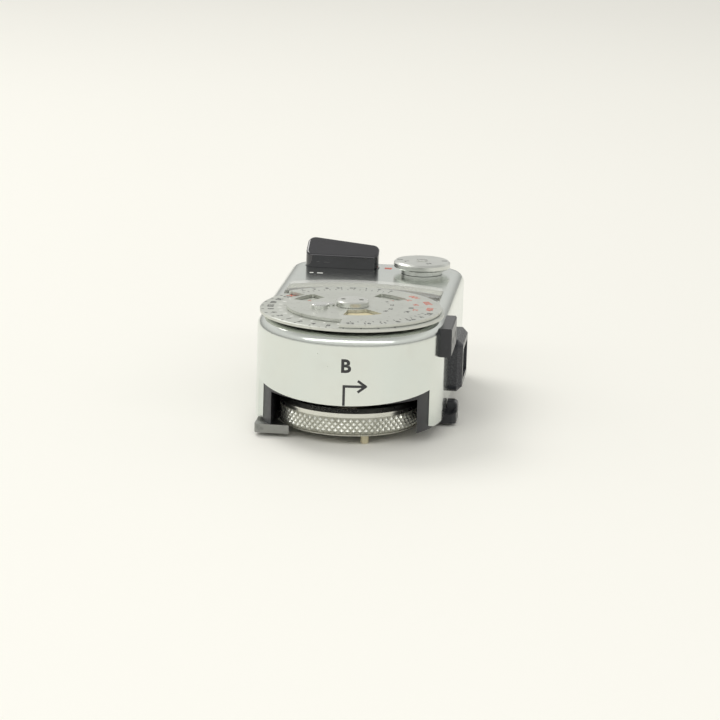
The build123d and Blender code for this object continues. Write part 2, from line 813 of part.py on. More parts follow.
def make_hairspring():
    """Flat spiral of half turns whose centres alternate, with its collet."""
    collet = 0.7
    plan = Circle(collet)
    for half_turn in range(2 * hairspring_turns):
        side = 1 if half_turn % 2 == 0 else -1
        middle = collet + hairspring_pitch * (half_turn + 0.5) / 2
        ring = Circle(middle + hairspring_strip / 2) - Circle(middle - hairspring_strip / 2)
        half_plane = Pos(0, side * 5) * Rectangle(20, 10)
        plan += Pos(side * hairspring_pitch / 4, 0) * (ring & half_plane)
    plan -= Circle(staff_radius)
    spring = prism(plan, hairspring_bottom, hairspring_bottom + 0.2)
    return Pos(0, movement_y, 0) * spring


def make_clock_bridge():
    half = clock_bridge_width / 2
    reach = clock_post_x + 1.0
    bridge = block(-reach, reach, movement_y - half, movement_y + half, clock_bridge_bottom,
                   clock_bridge_bottom + clock_bridge_thickness)
    bridge = fillet(bridge.edges().filter_by(Axis.Z), 0.9)
    return bridge - rod(jewel_radius, 0, plate_height, 0, movement_y)


def make_jewels():
    """Upper and lower jewel screws of the coil's pivots."""
    low = clock_bridge_bottom
    upper = rod(jewel_radius, low - 0.05, low + clock_bridge_thickness, 0, movement_y)
    upper -= rod(tip_radius + jewel_fit, 0, low + 0.25, 0, movement_y)
    lower = rod(jewel_radius, floor_top, movement_base_top + base_boss_height, 0, movement_y)
    lower -= rod(tip_radius + jewel_fit, movement_base_top + 0.3, movement_base_top + 1, 0, movement_y)
    return [upper, lower]


def make_zero_screw():
    x, y = zero_place
    screw = rod(zero_radius, floor_bottom - 0.5, floor_top + 0.05, x, y)
    screw += rod(zero_radius + 0.3, floor_bottom - 1.1, floor_bottom - 0.05, x, y)
    screw += rod(zero_radius + 0.35, floor_top + 0.05, floor_top + 0.35, x, y)
    screw -= block(x - 2, x + 2, y - 0.2, y + 0.2, 0, floor_bottom - 0.8)
    px, py = polar(zero_throw, zero_heading, zero_place)
    return screw + rod(zero_pin_radius, floor_top + 0.35, zero_arm_bottom + 0.6, px, py)


def make_zero_arm():
    """Arm round the lower pivot, forked over the zero screw's pin, with the hairspring's stud."""
    end = zero_reach + zero_throw + fork_reach
    half = zero_arm_width / 2
    slot_half = zero_pin_radius + zero_slot_fit
    plan = Circle(2.0) + Pos(end / 2, 0) * Rectangle(end, 2 * half)
    plan += Pos(end - fork_length / 2, 0) * Rectangle(fork_length, 2 * slot_half + 0.8)
    plan -= Circle(base_boss_radius + running_fit)
    plan -= Pos(end - fork_length / 2 + 0.3, 0) * Rectangle(fork_length - 0.4, 2 * slot_half)
    arm = prism(plan, zero_arm_bottom, zero_arm_bottom + zero_arm_thickness)
    arm += rod(0.2, zero_arm_bottom, hairspring_bottom + 0.2, 2.6, 0)
    return Pos(0, movement_y, 0) * Rot(0, 0, zero_heading) * arm


def make_knob_bush():
    inner = knob_shaft_radius + running_fit
    bush = tube(inner, inner + 0.75, plate_underside - 2, plate_height, *knob_place)
    return bush + tube(inner, inner + 1.6, plate_underside - 0.6, plate_underside, *knob_place)


def make_range_knob():
    knob = rod(knob_radius, knob_top - knob_rim, knob_top, *knob_place)
    knob = chamfer(knob.edges().group_by(Axis.Z)[-1], 0.3)
    knob = chamfer(knob.edges().group_by(Axis.Z)[0], 0.2)
    knob += rod(knob_neck_radius, plate_height + knob_gap, knob_top - knob_rim, *knob_place)
    knob -= rod(knob_shaft_radius, plate_height, knob_top - 0.5, *knob_place)
    return knob - rod(knob_screw_radius, plate_height, knob_top + 1, *knob_place)


def make_knob_screw():
    x, y = knob_place
    half_slot = screw_slot / 2
    screw = rod(knob_screw_radius, knob_top - knob_screw_length, knob_top, x, y)
    screw += rod(knob_screw_head, knob_top, knob_top + 0.15, x, y)
    return screw - block(x - 1, x + 1, y - half_slot, y + half_slot, knob_top, knob_top + 1)


def make_knob_shaft():
    shaft = rod(knob_shaft_radius, wiper_bottom, knob_top - 0.5, *knob_place)
    return shaft - rod(knob_screw_radius, knob_top - knob_screw_length, knob_top, *knob_place)


def make_wiper():
    plan = Circle(knob_shaft_radius + 0.6) + Pos(wiper_reach / 2, 0) * Rectangle(wiper_reach, 0.9)
    plan -= Circle(knob_shaft_radius)
    return Pos(*knob_place) * prism(plan, wiper_bottom, wiper_bottom + 0.3)


def make_resistor_board():
    """Insulating board with raised contact studs under the wiper."""
    top = floor_top + board_thickness
    board = block(board_left, board_right, board_near, board_far, floor_top, top)
    board = fillet(board.edges().filter_by(Axis.Z).group_by(Axis.X)[-1].group_by(Axis.Y)[-1], 2.5)
    for angle in contact_angles:
        board += rod(contact_radius, top, top + contact_height, *polar(wiper_reach - 0.5, angle, knob_place))
    return board


def make_resistors():
    z = floor_top + board_thickness + resistor_radius
    y = board_far - resistor_radius - 0.4
    starts = (board_left + 0.1, board_left + 0.3 + resistor_length)
    return [side_rod(resistor_radius, x, x + resistor_length, y, z) for x in starts]


def make_button():
    plan = button_outline(0)
    body = prism(plan, button_flange_bottom, plate_height + 6)
    top = Plane(origin=(0, button_near, button_front_top), x_dir=(1, 0, 0), z_dir=(0, -button_slope, 1))
    body -= top * Pos(0, 0, 5) * Box(60, 60, 10)
    body = fillet(body.faces().sort_by(Axis.Z)[-1].edges(), 0.35)
    flange = button_outline(0.35)
    body += prism(flange, button_flange_bottom, button_flange_top)
    body += rod(button_collar_radius, clamp_top, button_flange_bottom, *button_stem_place)
    return body - rod(button_stem_radius, 0, plate_height, *button_stem_place)


def make_button_stem():
    stem = rod(button_stem_radius, 8.0, plate_height, *button_stem_place)
    return stem + rod(button_collar_radius, stem_collar_bottom, clamp_bottom, *button_stem_place)


def make_button_guide():
    inner = button_stem_radius + running_fit
    return tube(inner, inner + 1.1, floor_top, button_guide_top, *button_stem_place)


def make_button_spring():
    radius = button_stem_radius + 0.3 + button_wire / 2
    low = button_guide_top
    high = stem_collar_bottom
    return coil_spring(radius, button_wire, low, high, button_turns, *button_stem_place)


def make_needle_clamp():
    """Plate on the button's stem with an arc pad under the pointer's tail."""
    pad = sector(clamp_inner, clamp_outer, 90 - clamp_half_angle, 90 + clamp_half_angle)
    stem_x, stem_y = button_stem_place
    dx = stem_x
    dy = stem_y - movement_y
    reach = hypot(dx, dy)
    start = clamp_inner + 0.4
    heading = degrees(atan2(dy, dx))
    arm = Rot(0, 0, heading) * Pos((reach + start) / 2, 0) * Rectangle(reach - start, 1.4)
    plan = Pos(0, movement_y) * (pad + arm) + Pos(*button_stem_place) * Circle(button_collar_radius)
    plan -= Pos(*button_stem_place) * Circle(button_stem_radius)
    return prism(plan, clamp_bottom, clamp_top)


def holder_back():
    """X of the cell holder's inner face."""
    return lens_back() - contact_thickness - cell_thickness - holder_thickness


def lens_back():
    return half_width + bezel_depth - lens_lip - lens_depth


def make_cell_bezel():
    outer = half_width + bezel_depth
    bezel = cell_block(half_width, outer, bezel_length, bezel_height)
    bezel = fillet(bezel.edges().filter_by(Axis.X), bezel_chamfer + 0.4)
    bezel = chamfer(bezel.edges().group_by(Axis.X)[-1], bezel_chamfer)
    bezel -= cell_block(half_width - 1, outer - lens_lip, lens_length, lens_height)
    return bezel - cell_block(half_width, outer + 1, lens_length - 1.4, lens_height - 1.4)


def make_cell_lens():
    outer = half_width + bezel_depth - lens_lip
    return cell_block(lens_back(), outer, lens_length - 2 * cell_fit, lens_height - 2 * cell_fit)


def make_cell_contact():
    outer = lens_back()
    ring = cell_block(outer - contact_thickness, outer, lens_length, lens_height)
    return ring - cell_block(outer - 1, outer + 1, lens_length - 1.6, lens_height - 1.6)


def make_selenium_cell():
    outer = lens_back() - contact_thickness
    return cell_block(outer - cell_thickness, outer, lens_length, lens_height)


def make_cell_holder():
    back = holder_back()
    half = lens_length / 2
    top = cell_z + lens_height / 2
    return block(back, back + holder_thickness, cell_y - half, cell_y + half, floor_top, top)


def socket_plug(grow):
    """Tongue of the booster socket that passes through the shell."""
    near = socket_near + 1.9
    far = socket_near + socket_length - 2.0
    z0 = socket_bottom + 1.1
    return block(half_width - 1.4, half_width + 0.4, near - grow, far + grow, z0 - grow, z0 + 1.8 + grow)


def socket_pin_places():
    y = socket_near + socket_length / 2
    return (y - socket_pin_spacing / 2, y + socket_pin_spacing / 2)


def make_socket_block():
    far = socket_near + socket_length
    outer = half_width + socket_depth
    top = socket_bottom + socket_height
    body = block(half_width - 2.5, outer, socket_near, far, socket_bottom, top)
    body = chamfer(body.edges().group_by(Axis.X)[-1], 0.2)
    body -= case_solid(0, side_bottom, plate_height, shoulder_radius)
    body += socket_plug(0)
    z = socket_bottom + socket_height / 2 - 0.15
    for y in socket_pin_places():
        body -= side_rod(socket_pin_radius, half_width - 3, outer + 1, y, z)
    return body


def make_socket_contacts():
    outer = half_width + socket_depth - 0.1
    z = socket_bottom + socket_height / 2 - 0.15
    contacts = []
    for y in socket_pin_places():
        sleeve = side_rod(socket_pin_radius, half_width - 1.8, outer, y, z)
        contacts.append(sleeve - side_rod(0.3, half_width, outer + 1, y, z))
    return contacts


pieces = {
    "top_shell": make_top_shell,
    "base_frame": make_base_frame,
    "accessory_foot": make_accessory_foot,
    "foot_screws": make_foot_screws,
    "sole_plate": make_sole_plate,
    "sole_screws": make_sole_screws,
    "side_lug": make_side_lug,
    "lug_pins": make_lug_pins,
    "case_screws": make_case_screws,
    "lower_bush": make_lower_bush,
    "upper_bush": make_upper_bush,
    "dial_bridge": make_dial_bridge,
    "inside_screws": make_inside_screws,
    "lift_sleeve": make_lift_sleeve,
    "lift_spring": make_lift_spring,
    "coupling_wheel": make_coupling_wheel,
    "coupling_pin": make_coupling_pin,
    "spindle": make_spindle,
    "wheel_screw": make_wheel_screw,
    "speed_ring": make_speed_ring,
    "dial_hub": make_dial_hub,
    "calculator_disc": make_calculator_disc,
    "setting_peg": lambda: disc_rivet(peg_place, peg_radius, peg_height),
    "stop_rivet": lambda: disc_rivet(stop_place, stop_radius, stop_height),
    "window_pane": make_window_pane,
    "scale_plate": make_scale_plate,
    "scale_posts": make_scale_posts,
    "movement_base": make_movement_base,
    "yoke_ring": make_yoke_ring,
    "movement_posts": make_movement_posts,
    "core_magnet": make_core_magnet,
    "core_holder": make_core_holder,
    "coil_winding": make_coil_winding,
    "coil_former": make_coil_former,
    "pivot_staff": make_pivot_staff,
    "pointer": make_pointer,
    "hairspring": make_hairspring,
    "clock_bridge": make_clock_bridge,
    "jewels": make_jewels,
    "zero_screw": make_zero_screw,
    "zero_arm": make_zero_arm,
    "knob_bush": make_knob_bush,
    "range_knob": make_range_knob,
    "knob_screw": make_knob_screw,
    "knob_shaft": make_knob_shaft,
    "wiper": make_wiper,
    "resistor_board": make_resistor_board,
    "resistors": make_resistors,
    "reading_button": make_button,
    "button_stem": make_button_stem,
    "button_guide": make_button_guide,
    "button_spring": make_button_spring,
    "needle_clamp": make_needle_clamp,
    "cell_bezel": make_cell_bezel,
    "cell_lens": make_cell_lens,
    "cell_contact": make_cell_contact,
    "selenium_cell": make_selenium_cell,
    "cell_holder": make_cell_holder,
    "socket_block": make_socket_block,
    "socket_contacts": make_socket_contacts,
}

os.makedirs("parts", exist_ok=True)
for name, make in pieces.items():
    shape = make()
    if isinstance(shape, list):
        shape = Compound(children=shape)
    export_step(shape, f"parts/{name}.step")
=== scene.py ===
from math import cos, pi, radians, sin

import bmesh
import bpy
from bpy.props import FloatProperty, FloatVectorProperty, IntProperty, PointerProperty
from mathutils import Matrix, Vector


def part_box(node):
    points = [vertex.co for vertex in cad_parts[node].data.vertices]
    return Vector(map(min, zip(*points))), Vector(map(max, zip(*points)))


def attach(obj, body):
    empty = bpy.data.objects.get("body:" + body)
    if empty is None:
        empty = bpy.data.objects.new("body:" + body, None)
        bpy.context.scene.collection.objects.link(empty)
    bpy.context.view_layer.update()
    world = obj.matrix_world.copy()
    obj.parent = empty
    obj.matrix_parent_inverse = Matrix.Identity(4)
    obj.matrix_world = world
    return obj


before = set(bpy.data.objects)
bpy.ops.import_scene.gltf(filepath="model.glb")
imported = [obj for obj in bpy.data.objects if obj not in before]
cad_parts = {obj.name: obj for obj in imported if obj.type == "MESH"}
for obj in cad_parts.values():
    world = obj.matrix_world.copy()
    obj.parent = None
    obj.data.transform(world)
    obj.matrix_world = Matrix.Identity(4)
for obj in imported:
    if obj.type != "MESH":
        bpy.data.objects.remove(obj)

bl_info = {
    "name": "Clip-on light meter",
    "version": (1, 0, 0),
    "blender": (4, 5, 0),
    "location": "View3D > Sidebar > Light meter",
    "description": "Knurling, figures, lens and finishes of a clip-on selenium light meter",
    "category": "Object",
}

MM = 0.001
INK = 0.01 * MM  # thickness of a printed or filled mark

ring_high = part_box("speed_ring")[1]
disc_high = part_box("calculator_disc")[1]
wheel_low, wheel_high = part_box("coupling_wheel")
knob_low, knob_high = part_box("range_knob")
shell_low, shell_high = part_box("top_shell")
card_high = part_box("scale_plate")[1]
lens_low, lens_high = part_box("cell_lens")
yoke_low, yoke_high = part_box("yoke_ring")
button_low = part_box("reading_button")[0]
dial_axis = Vector(((wheel_low[0] + wheel_high[0]) / 2, (wheel_low[1] + wheel_high[1]) / 2))
knob_axis = Vector(((knob_low[0] + knob_high[0]) / 2, (knob_low[1] + knob_high[1]) / 2))
needle_axis = Vector(((yoke_low[0] + yoke_high[0]) / 2, (yoke_low[1] + yoke_high[1]) / 2))
plate_z = shell_high[2]


class KnurlSettings(bpy.types.PropertyGroup):
    teeth: IntProperty(name="Teeth", description="Diamonds round the wheel", default=70, min=20)
    rows: IntProperty(name="Rows", description="Half rows of diamonds up the band", default=5, min=2)
    low_radius: FloatProperty(name="Groove radius", description="Radius at the bottom of the grooves",
                              default=wheel_high[0] - dial_axis.x - 0.24 * MM, subtype="DISTANCE")
    high_radius: FloatProperty(name="Crest radius", description="Radius at the diamonds' crests",
                               default=wheel_high[0] - dial_axis.x, subtype="DISTANCE")
    bottom: FloatProperty(name="Bottom", description="Lower edge of the knurled band",
                          default=wheel_low[2] + 0.25 * MM, subtype="DISTANCE")
    height: FloatProperty(name="Height", description="Height of the knurled band",
                          default=2.5 * MM, subtype="DISTANCE")


class FigureSettings(bpy.types.PropertyGroup):
    height: FloatProperty(name="Figure height", description="Height of the dial's figures",
                          default=1.05 * MM, subtype="DISTANCE")
    small_height: FloatProperty(name="Small figure height", description="Height of the small figures",
                                default=0.75 * MM, subtype="DISTANCE")
    index_height: FloatProperty(name="Index letter", description="Height of the letter on the skirt",
                                default=1.95 * MM, subtype="DISTANCE")
    line: FloatProperty(name="Line width", description="Width of the skirt's index line",
                        default=0.38 * MM, subtype="DISTANCE")


class LensSettings(bpy.types.PropertyGroup):
    pitch: FloatProperty(name="Pitch", description="Distance between the lens's domes",
                         default=1.15 * MM, subtype="DISTANCE")
    rise: FloatProperty(name="Rise", description="Height of a dome", default=0.3 * MM, subtype="DISTANCE")


class StageSettings(bpy.types.PropertyGroup):
    eye: FloatVectorProperty(name="Camera", description="Place of the camera",
                             default=(0.04424, -0.4368, 0.1088), subtype="TRANSLATION")
    heading: FloatProperty(name="Heading", description="Turn of the camera about the vertical",
                           default=radians(6.0), subtype="ANGLE")
    pitch: FloatProperty(name="Pitch", description="Tilt of the camera below level",
                         default=0.235, subtype="ANGLE")
    roll: FloatProperty(name="Roll", description="Turn of the camera about its own axis",
                        default=0.029, subtype="ANGLE")
    focal: FloatProperty(name="Focal length", description="Lens of the camera in millimetres", default=141.5)
    floor: FloatVectorProperty(name="Floor", description="Colour of the floor",
                               default=(0.945, 0.935, 0.885), subtype="COLOR")


class FinishSettings(bpy.types.PropertyGroup):
    chrome: FloatVectorProperty(name="Satin chrome", description="Colour of the case's plating",
                                default=(0.725, 0.74, 0.695), subtype="COLOR")
    dial: FloatVectorProperty(name="Dial metal", description="Colour of the dial's matt plating",
                              default=(0.63, 0.645, 0.60), subtype="COLOR")
    black: FloatVectorProperty(name="Black enamel", description="Colour of the black castings",
                               default=(0.017, 0.018, 0.021), subtype="COLOR")
    red: FloatVectorProperty(name="Red filling", description="Colour of the red marks",
                             default=(0.62, 0.12, 0.07), subtype="COLOR")
    ink: FloatVectorProperty(name="Black filling", description="Colour of the black marks",
                             default=(0.028, 0.028, 0.030), subtype="COLOR")


class Value:
    """A socket of a finish, with arithmetic that adds its nodes."""

    def __init__(self, finish, socket):
        self.finish = finish
        self.socket = socket

    def math(self, operation, first, second, clamp=False):
        sockets = {0: first, 1: second}
        return self.finish.node("Math", sockets, operation=operation, use_clamp=clamp)

    def __add__(self, other):
        return self.math("ADD", self, other)

    __radd__ = __add__

    def __sub__(self, other):
        return self.math("SUBTRACT", self, other)

    def __rsub__(self, other):
        return self.math("SUBTRACT", other, self)

    def __mul__(self, other):
        return self.math("MULTIPLY", self, other)

    __rmul__ = __mul__

    def __truediv__(self, other):
        return self.math("DIVIDE", self, other)

    def __rtruediv__(self, other):
        return self.math("DIVIDE", other, self)

    def __pow__(self, other):
        return self.math("POWER", self, other)

    def __gt__(self, other):
        return self.math("GREATER_THAN", self, other)

    def __lt__(self, other):
        return self.math("LESS_THAN", self, other)

    def folded(self, height):
        """The value run up and down between 0 and a height."""
        return self.math("PINGPONG", self, height)

    def clamped(self):
        return self.math("ADD", self, 0.0, clamp=True)

    def within(self, low, high):
        """1 between two numbers, 0 outside them."""
        return (self > low) * (self < high)


class Finish:
    """A procedural material on the piece's own coordinates."""

    def __init__(self, name, **constants):
        self.material = bpy.data.materials.new(name)
        self.material.use_nodes = True
        self.tree = self.material.node_tree
        self.surface = self.tree.nodes["Principled BSDF"]
        for key, value in constants.items():
            self.surface.inputs[key.replace("_", " ")].default_value = value
        self.place = self.node("TexCoord", output="Object")

    def node(self, kind, sockets=None, output=0, stops=None, **settings):
        """Adds a node: settings first, then the values or links of its sockets."""
        node = self.tree.nodes.new("ShaderNode" + kind)
        for key, value in settings.items():
            setattr(node, key, value)
        if stops:
            ramp = node.color_ramp
            while len(ramp.elements) < len(stops):
                ramp.elements.new(1.0)
            for element, (position, colour) in zip(ramp.elements, stops):
                element.position = position
                element.color = colour
        for key, value in (sockets or {}).items():
            if isinstance(value, Value):
                self.tree.links.new(value.socket, node.inputs[key])
            else:
                node.inputs[key].default_value = value
        return Value(self, node.outputs[output])

    def set(self, name, value):
        """Feeds one of the surface's sockets."""
        self.tree.links.new(value.socket, self.surface.inputs[name])

    def axes(self):
        return [self.node("SeparateXYZ", {0: self.place}, output=axis) for axis in "XYZ"]

    def polar(self, centre):
        """Radius from an upright axis, and the angle in radians."""
        x, y, _ = self.axes()
        x = x - centre[0]
        y = y - centre[1]
        return (x * x + y * y) ** 0.5, x.math("ARCTAN2", y, x)

    def noise(self, grain, detail=3.0, stretch=(1.0, 1.0, 1.0)):
        """Noise whose features are about a grain across, in metres, from 0 to 1."""
        mapped = self.node("Mapping", {"Vector": self.place, "Scale": stretch})
        return self.node("TexNoise", {"Vector": mapped, "Scale": 1.0 / grain, "Detail": detail})

    def mix(self, mask, first, second):
        """Colour that goes from the first to the second as the mask goes from 0 to 1."""
        return self.node("Mix", {0: mask, 6: first, 7: second}, output=2, data_type="RGBA")

    def bump(self, height, depth, strength=1.0):
        sockets = {"Height": height, "Distance": depth, "Strength": strength}
        self.set("Normal", self.node("Bump", sockets))


def shade(colour, factor=1.0):
    """A colour with its alpha, made lighter or darker."""
    return (colour[0] * factor, colour[1] * factor, colour[2] * factor, 1.0)


def bare_metal(name, metallic, colour, rough, smudge):
    """Small turned or stamped metal parts: clouded tone, finger marks in the gloss and a fine grain."""
    finish = Finish(name, Metallic=metallic)
    cloud = finish.noise(6 * MM, 4.0)
    fine = finish.noise(0.1 * MM, 2.0)
    prints = ((finish.noise(1.6 * MM, 5.0) - 0.52) * 5.0).clamped()
    finish.set("Base Color", finish.mix(cloud * 0.6 + fine * 0.2, shade(colour, 0.9), shade(colour, 1.07)))
    finish.set("Roughness", prints * smudge + fine * 0.06 + (rough - 0.03))
    finish.bump(fine, 0.003 * MM, 0.35)
    return finish


def satin_chrome(name, colour):
    """Bead-blasted chrome plating with faint finger marks and hairline scratches."""
    finish = Finish(name, Metallic=1.0, Specular_IOR_Level=0.5)
    cloud = finish.noise(9 * MM, 3.0)
    grain = finish.noise(0.05 * MM, 2.0)
    prints = ((finish.noise(2.2 * MM, 6.0) - 0.5) * 4.0).clamped()
    lines = finish.noise(0.35 * MM, 2.0, (0.06, 1.0, 0.35))
    scratch = ((lines - 0.68) * 14.0).clamped()
    pits = ((finish.noise(0.45 * MM, 2.0) - 0.76) * 30.0).clamped()
    cool = (colour[0] * 0.93, colour[1] * 0.985, colour[2] * 1.015, 1.0)
    tone = finish.mix(cloud, cool, shade(colour, 1.03))
    worn = finish.mix(prints * 0.3, tone, shade(colour, 0.9))
    marked = finish.mix(pits * 0.4, worn, (0.30, 0.28, 0.24, 1.0))
    finish.set("Base Color", marked)
    finish.set("Roughness", grain * 0.04 + prints * 0.04 + scratch * 0.04 + pits * 0.3 + 0.15)
    finish.bump(grain + scratch * 0.5, 0.0006 * MM, 0.2)
    return finish


def dial_metal(name, colour, card=None):
    """Matt plating of the dial, with fine turning lines and, on the ring, a cream card ring."""
    finish = Finish(name, Metallic=1.0)
    radius, _ = finish.polar(dial_axis)
    lines = finish.node("TexNoise", {"W": radius / (0.05 * MM), "Scale": 1.0}, noise_dimensions="1D")
    grain = finish.noise(0.09 * MM, 3.0)
    cloud = finish.noise(3 * MM, 4.0)
    tone = finish.mix(cloud, shade(colour, 0.88), shade(colour, 1.10))
    dirt = ((finish.noise(0.7 * MM, 5.0) - 0.6) * 6.0).clamped()
    worn = finish.mix(dirt * 0.45, tone, (0.24, 0.23, 0.19, 1.0))
    if card:
        band = radius.within(2.6 * MM, 6.9 * MM)
        worn = finish.mix(band, worn, card)
        finish.set("Metallic", 1.0 - band)
    finish.set("Base Color", worn)
    finish.set("Roughness", grain * 0.12 + dirt * 0.15 + 0.36)
    finish.bump(lines * 0.6 + grain, 0.004 * MM, 0.45)
    return finish


def turned_metal(name, colour, centre, rough, pitch=0.09 * MM):
    """Metal turned on a lathe: rings about an upright axis."""
    finish = Finish(name, Metallic=1.0)
    radius, _ = finish.polar(centre)
    rings = finish.node("TexNoise", {"W": radius / pitch, "Scale": 1.0}, noise_dimensions="1D")
    cloud = finish.noise(2.5 * MM, 4.0)
    finish.set("Base Color", finish.mix(cloud, shade(colour, 0.88), shade(colour, 1.08)))
    finish.set("Roughness", rings * 0.10 + cloud * 0.08 + rough)
    finish.bump(rings, 0.004 * MM, 0.5)
    return finish


def knurled_chrome(name, colour):
    """Chrome darkened in its grooves by painted shade mixed with grime, and whose crests are polished by
    fingers.
    """
    finish = Finish(name, Metallic=1.0)
    radius, _ = finish.polar(dial_axis)
    settings = bpy.context.scene.meter_knurl
    depth = settings.high_radius - settings.low_radius
    crest = ((radius - settings.low_radius) / depth).clamped()
    cloud = finish.noise(1.2 * MM, 4.0)
    # painted shade: darker and less metallic deeper in the grooves, with a cloud of grime mixed in
    groove_shade_and_grime = ((0.75 - crest) * 1.1 + (cloud - 0.5) * 0.9).clamped()
    finish.set("Base Color", finish.mix(groove_shade_and_grime, shade(colour, 1.1), (0.36, 0.355, 0.29, 1.0)))
    finish.set("Roughness", groove_shade_and_grime * 0.32 + 0.22)
    finish.set("Metallic", 1.0 - groove_shade_and_grime * 0.55)
    finish.bump(finish.noise(0.06 * MM, 2.0), 0.003 * MM, 0.4)
    return finish


def wheel_chrome(name, colour):
    """The wheel under its knurling: clean rims and a band behind the diamonds darkened with painted shade.
    """
    finish = Finish(name, Metallic=1.0)
    _, _, z = finish.axes()
    settings = bpy.context.scene.meter_knurl
    band = z.within(settings.bottom, settings.bottom + settings.height)
    cloud = finish.noise(2.0 * MM, 4.0)
    tone = finish.mix(cloud, shade(colour, 0.92), shade(colour, 1.08))
    # painted shade: the band behind the diamonds is darkened where the knurling shades it
    finish.set("Base Color", finish.mix(band * 0.8, tone, (0.20, 0.195, 0.15, 1.0)))
    finish.set("Roughness", cloud * 0.08 + band * 0.2 + 0.24)
    finish.bump(finish.noise(0.07 * MM, 2.0), 0.003 * MM, 0.4)
    return finish


def black_enamel(name, colour, rough=0.34):
    """Stoved black enamel over a casting, dusty and rubbed grey in places."""
    finish = Finish(name, Coat_Weight=0.15, Coat_Roughness=0.25, Specular_IOR_Level=0.4)
    grain = finish.noise(0.18 * MM, 4.0)
    cloud = finish.noise(2.5 * MM, 5.0)
    dust = ((finish.noise(0.6 * MM, 6.0) - 0.58) * 5.0).clamped()
    tone = finish.mix(cloud, shade(colour, 0.85), shade(colour, 1.6))
    finish.set("Base Color", finish.mix(dust * 0.14, tone, (0.16, 0.15, 0.135, 1.0)))
    finish.set("Roughness", grain * 0.10 + dust * 0.15 + rough)
    finish.bump(grain, 0.006 * MM, 0.35)
    return finish


def polished_black(name):
    """Polished moulding of the button, with hairlines and finger grease."""
    finish = Finish(name, Coat_Weight=1.0, Coat_Roughness=0.02)
    cloud = finish.noise(2.6 * MM, 4.0)
    lines = finish.noise(0.22 * MM, 2.0, (0.05, 1.0, 1.0))
    hair = ((lines - 0.66) * 12.0).clamped()
    finish.set("Base Color", finish.mix(cloud, (0.006, 0.006, 0.009, 1.0), (0.016, 0.015, 0.021, 1.0)))
    finish.set("Roughness", cloud * 0.08 + hair * 0.10 + 0.04)
    finish.bump(cloud * 3.0 + hair, 0.0005 * MM, 0.3)
    return finish


def brushed_steel(name, colour, rough, along=0):
    """Steel or brass with a straight brushed grain."""
    stretch = [1.0, 1.0, 1.0]
    stretch[along] = 0.04
    finish = Finish(name, Metallic=1.0)
    lines = finish.noise(0.12 * MM, 3.0, tuple(stretch))
    cloud = finish.noise(3 * MM, 4.0)
    dark = ((finish.noise(1.0 * MM, 5.0) - 0.58) * 5.0).clamped()
    tone = finish.mix(lines * 0.5 + cloud * 0.5, shade(colour, 0.75), shade(colour, 1.15))
    finish.set("Base Color", finish.mix(dark * 0.5, tone, shade(colour, 0.35)))
    finish.set("Roughness", lines * 0.14 + dark * 0.15 + rough)
    finish.bump(lines, 0.005 * MM, 0.5)
    return finish


def clear_acrylic(name, tint, lowest):
    """Clear moulding: seen through face on, and at a glancing angle made opaque in its pale tint as a
    painted reflection.
    """
    finish = Finish(name, Base_Color=shade(tint), IOR=1.49)
    glancing_painted_reflection = finish.node("LayerWeight", {"Blend": 0.5}, output="Facing") ** 4.0
    scuffs = ((finish.noise(0.5 * MM, 5.0, (0.2, 1.0, 1.0)) - 0.62) * 6.0).clamped()
    # painted reflection: the facing term turns the pale tint opaque at a glancing angle, with faint scuffs
    # added
    finish.set("Alpha", (glancing_painted_reflection * 0.8 + scuffs * 0.08 + lowest).clamped())
    finish.set("Roughness", scuffs * 0.25 + 0.05)
    return finish


def printed_card(name):
    """Cream scale card with pale bands that follow the needle's sweep."""
    finish = Finish(name, Roughness=0.55)
    radius, angle = finish.polar(needle_axis)
    fibre = finish.noise(0.3 * MM, 4.0)
    paper = finish.mix(fibre, (0.60, 0.58, 0.48, 1.0), (0.70, 0.68, 0.57, 1.0))
    red_arc = radius.within(9.0 * MM, 9.5 * MM) * (angle > radians(-78))
    high_end = radius.within(13.1 * MM, 17.0 * MM) * (angle > radians(-62))
    tinted = finish.mix(high_end * 0.7, paper, (0.74, 0.55, 0.36, 1.0))
    finish.set("Base Color", finish.mix(red_arc, tinted, (0.55, 0.13, 0.08, 1.0)))
    finish.set("Roughness", fibre * 0.2 + 0.45)
    finish.bump(fibre, 0.004 * MM, 0.4)
    return finish


def filled_mark(name, colour):
    """Paint filled into an engraved mark, a little uneven."""
    finish = Finish(name, Roughness=0.45)
    cloud = finish.noise(0.25 * MM, 4.0)
    finish.set("Base Color", finish.mix(cloud, shade(colour, 0.8), shade(colour, 1.35)))
    finish.set("Roughness", cloud * 0.25 + 0.35)
    finish.bump(cloud, 0.003 * MM, 0.4)
    return finish


def wound_copper(name):
    """Fine enamelled wire wound round a frame, each turn painted light on its crest and dark between turns
    as painted shade and highlight.
    """
    finish = Finish(name, Metallic=0.9, Coat_Weight=0.5)
    _, y, _ = finish.axes()
    wire = 0.035 * MM
    ridge_and_shade = y.folded(wire) / wire
    cloud = finish.noise(0.8 * MM, 3.0)
    # painted shade and highlight: each turn darker at its edges and lighter at its crest; the same ridge
    # also drives the bump
    finish.set("Base Color", finish.mix(ridge_and_shade, (0.25, 0.09, 0.04, 1.0), (0.75, 0.34, 0.18, 1.0)))
    finish.set("Roughness", cloud * 0.1 + 0.25)
    finish.bump(ridge_and_shade, 0.01 * MM, 0.7)
    return finish


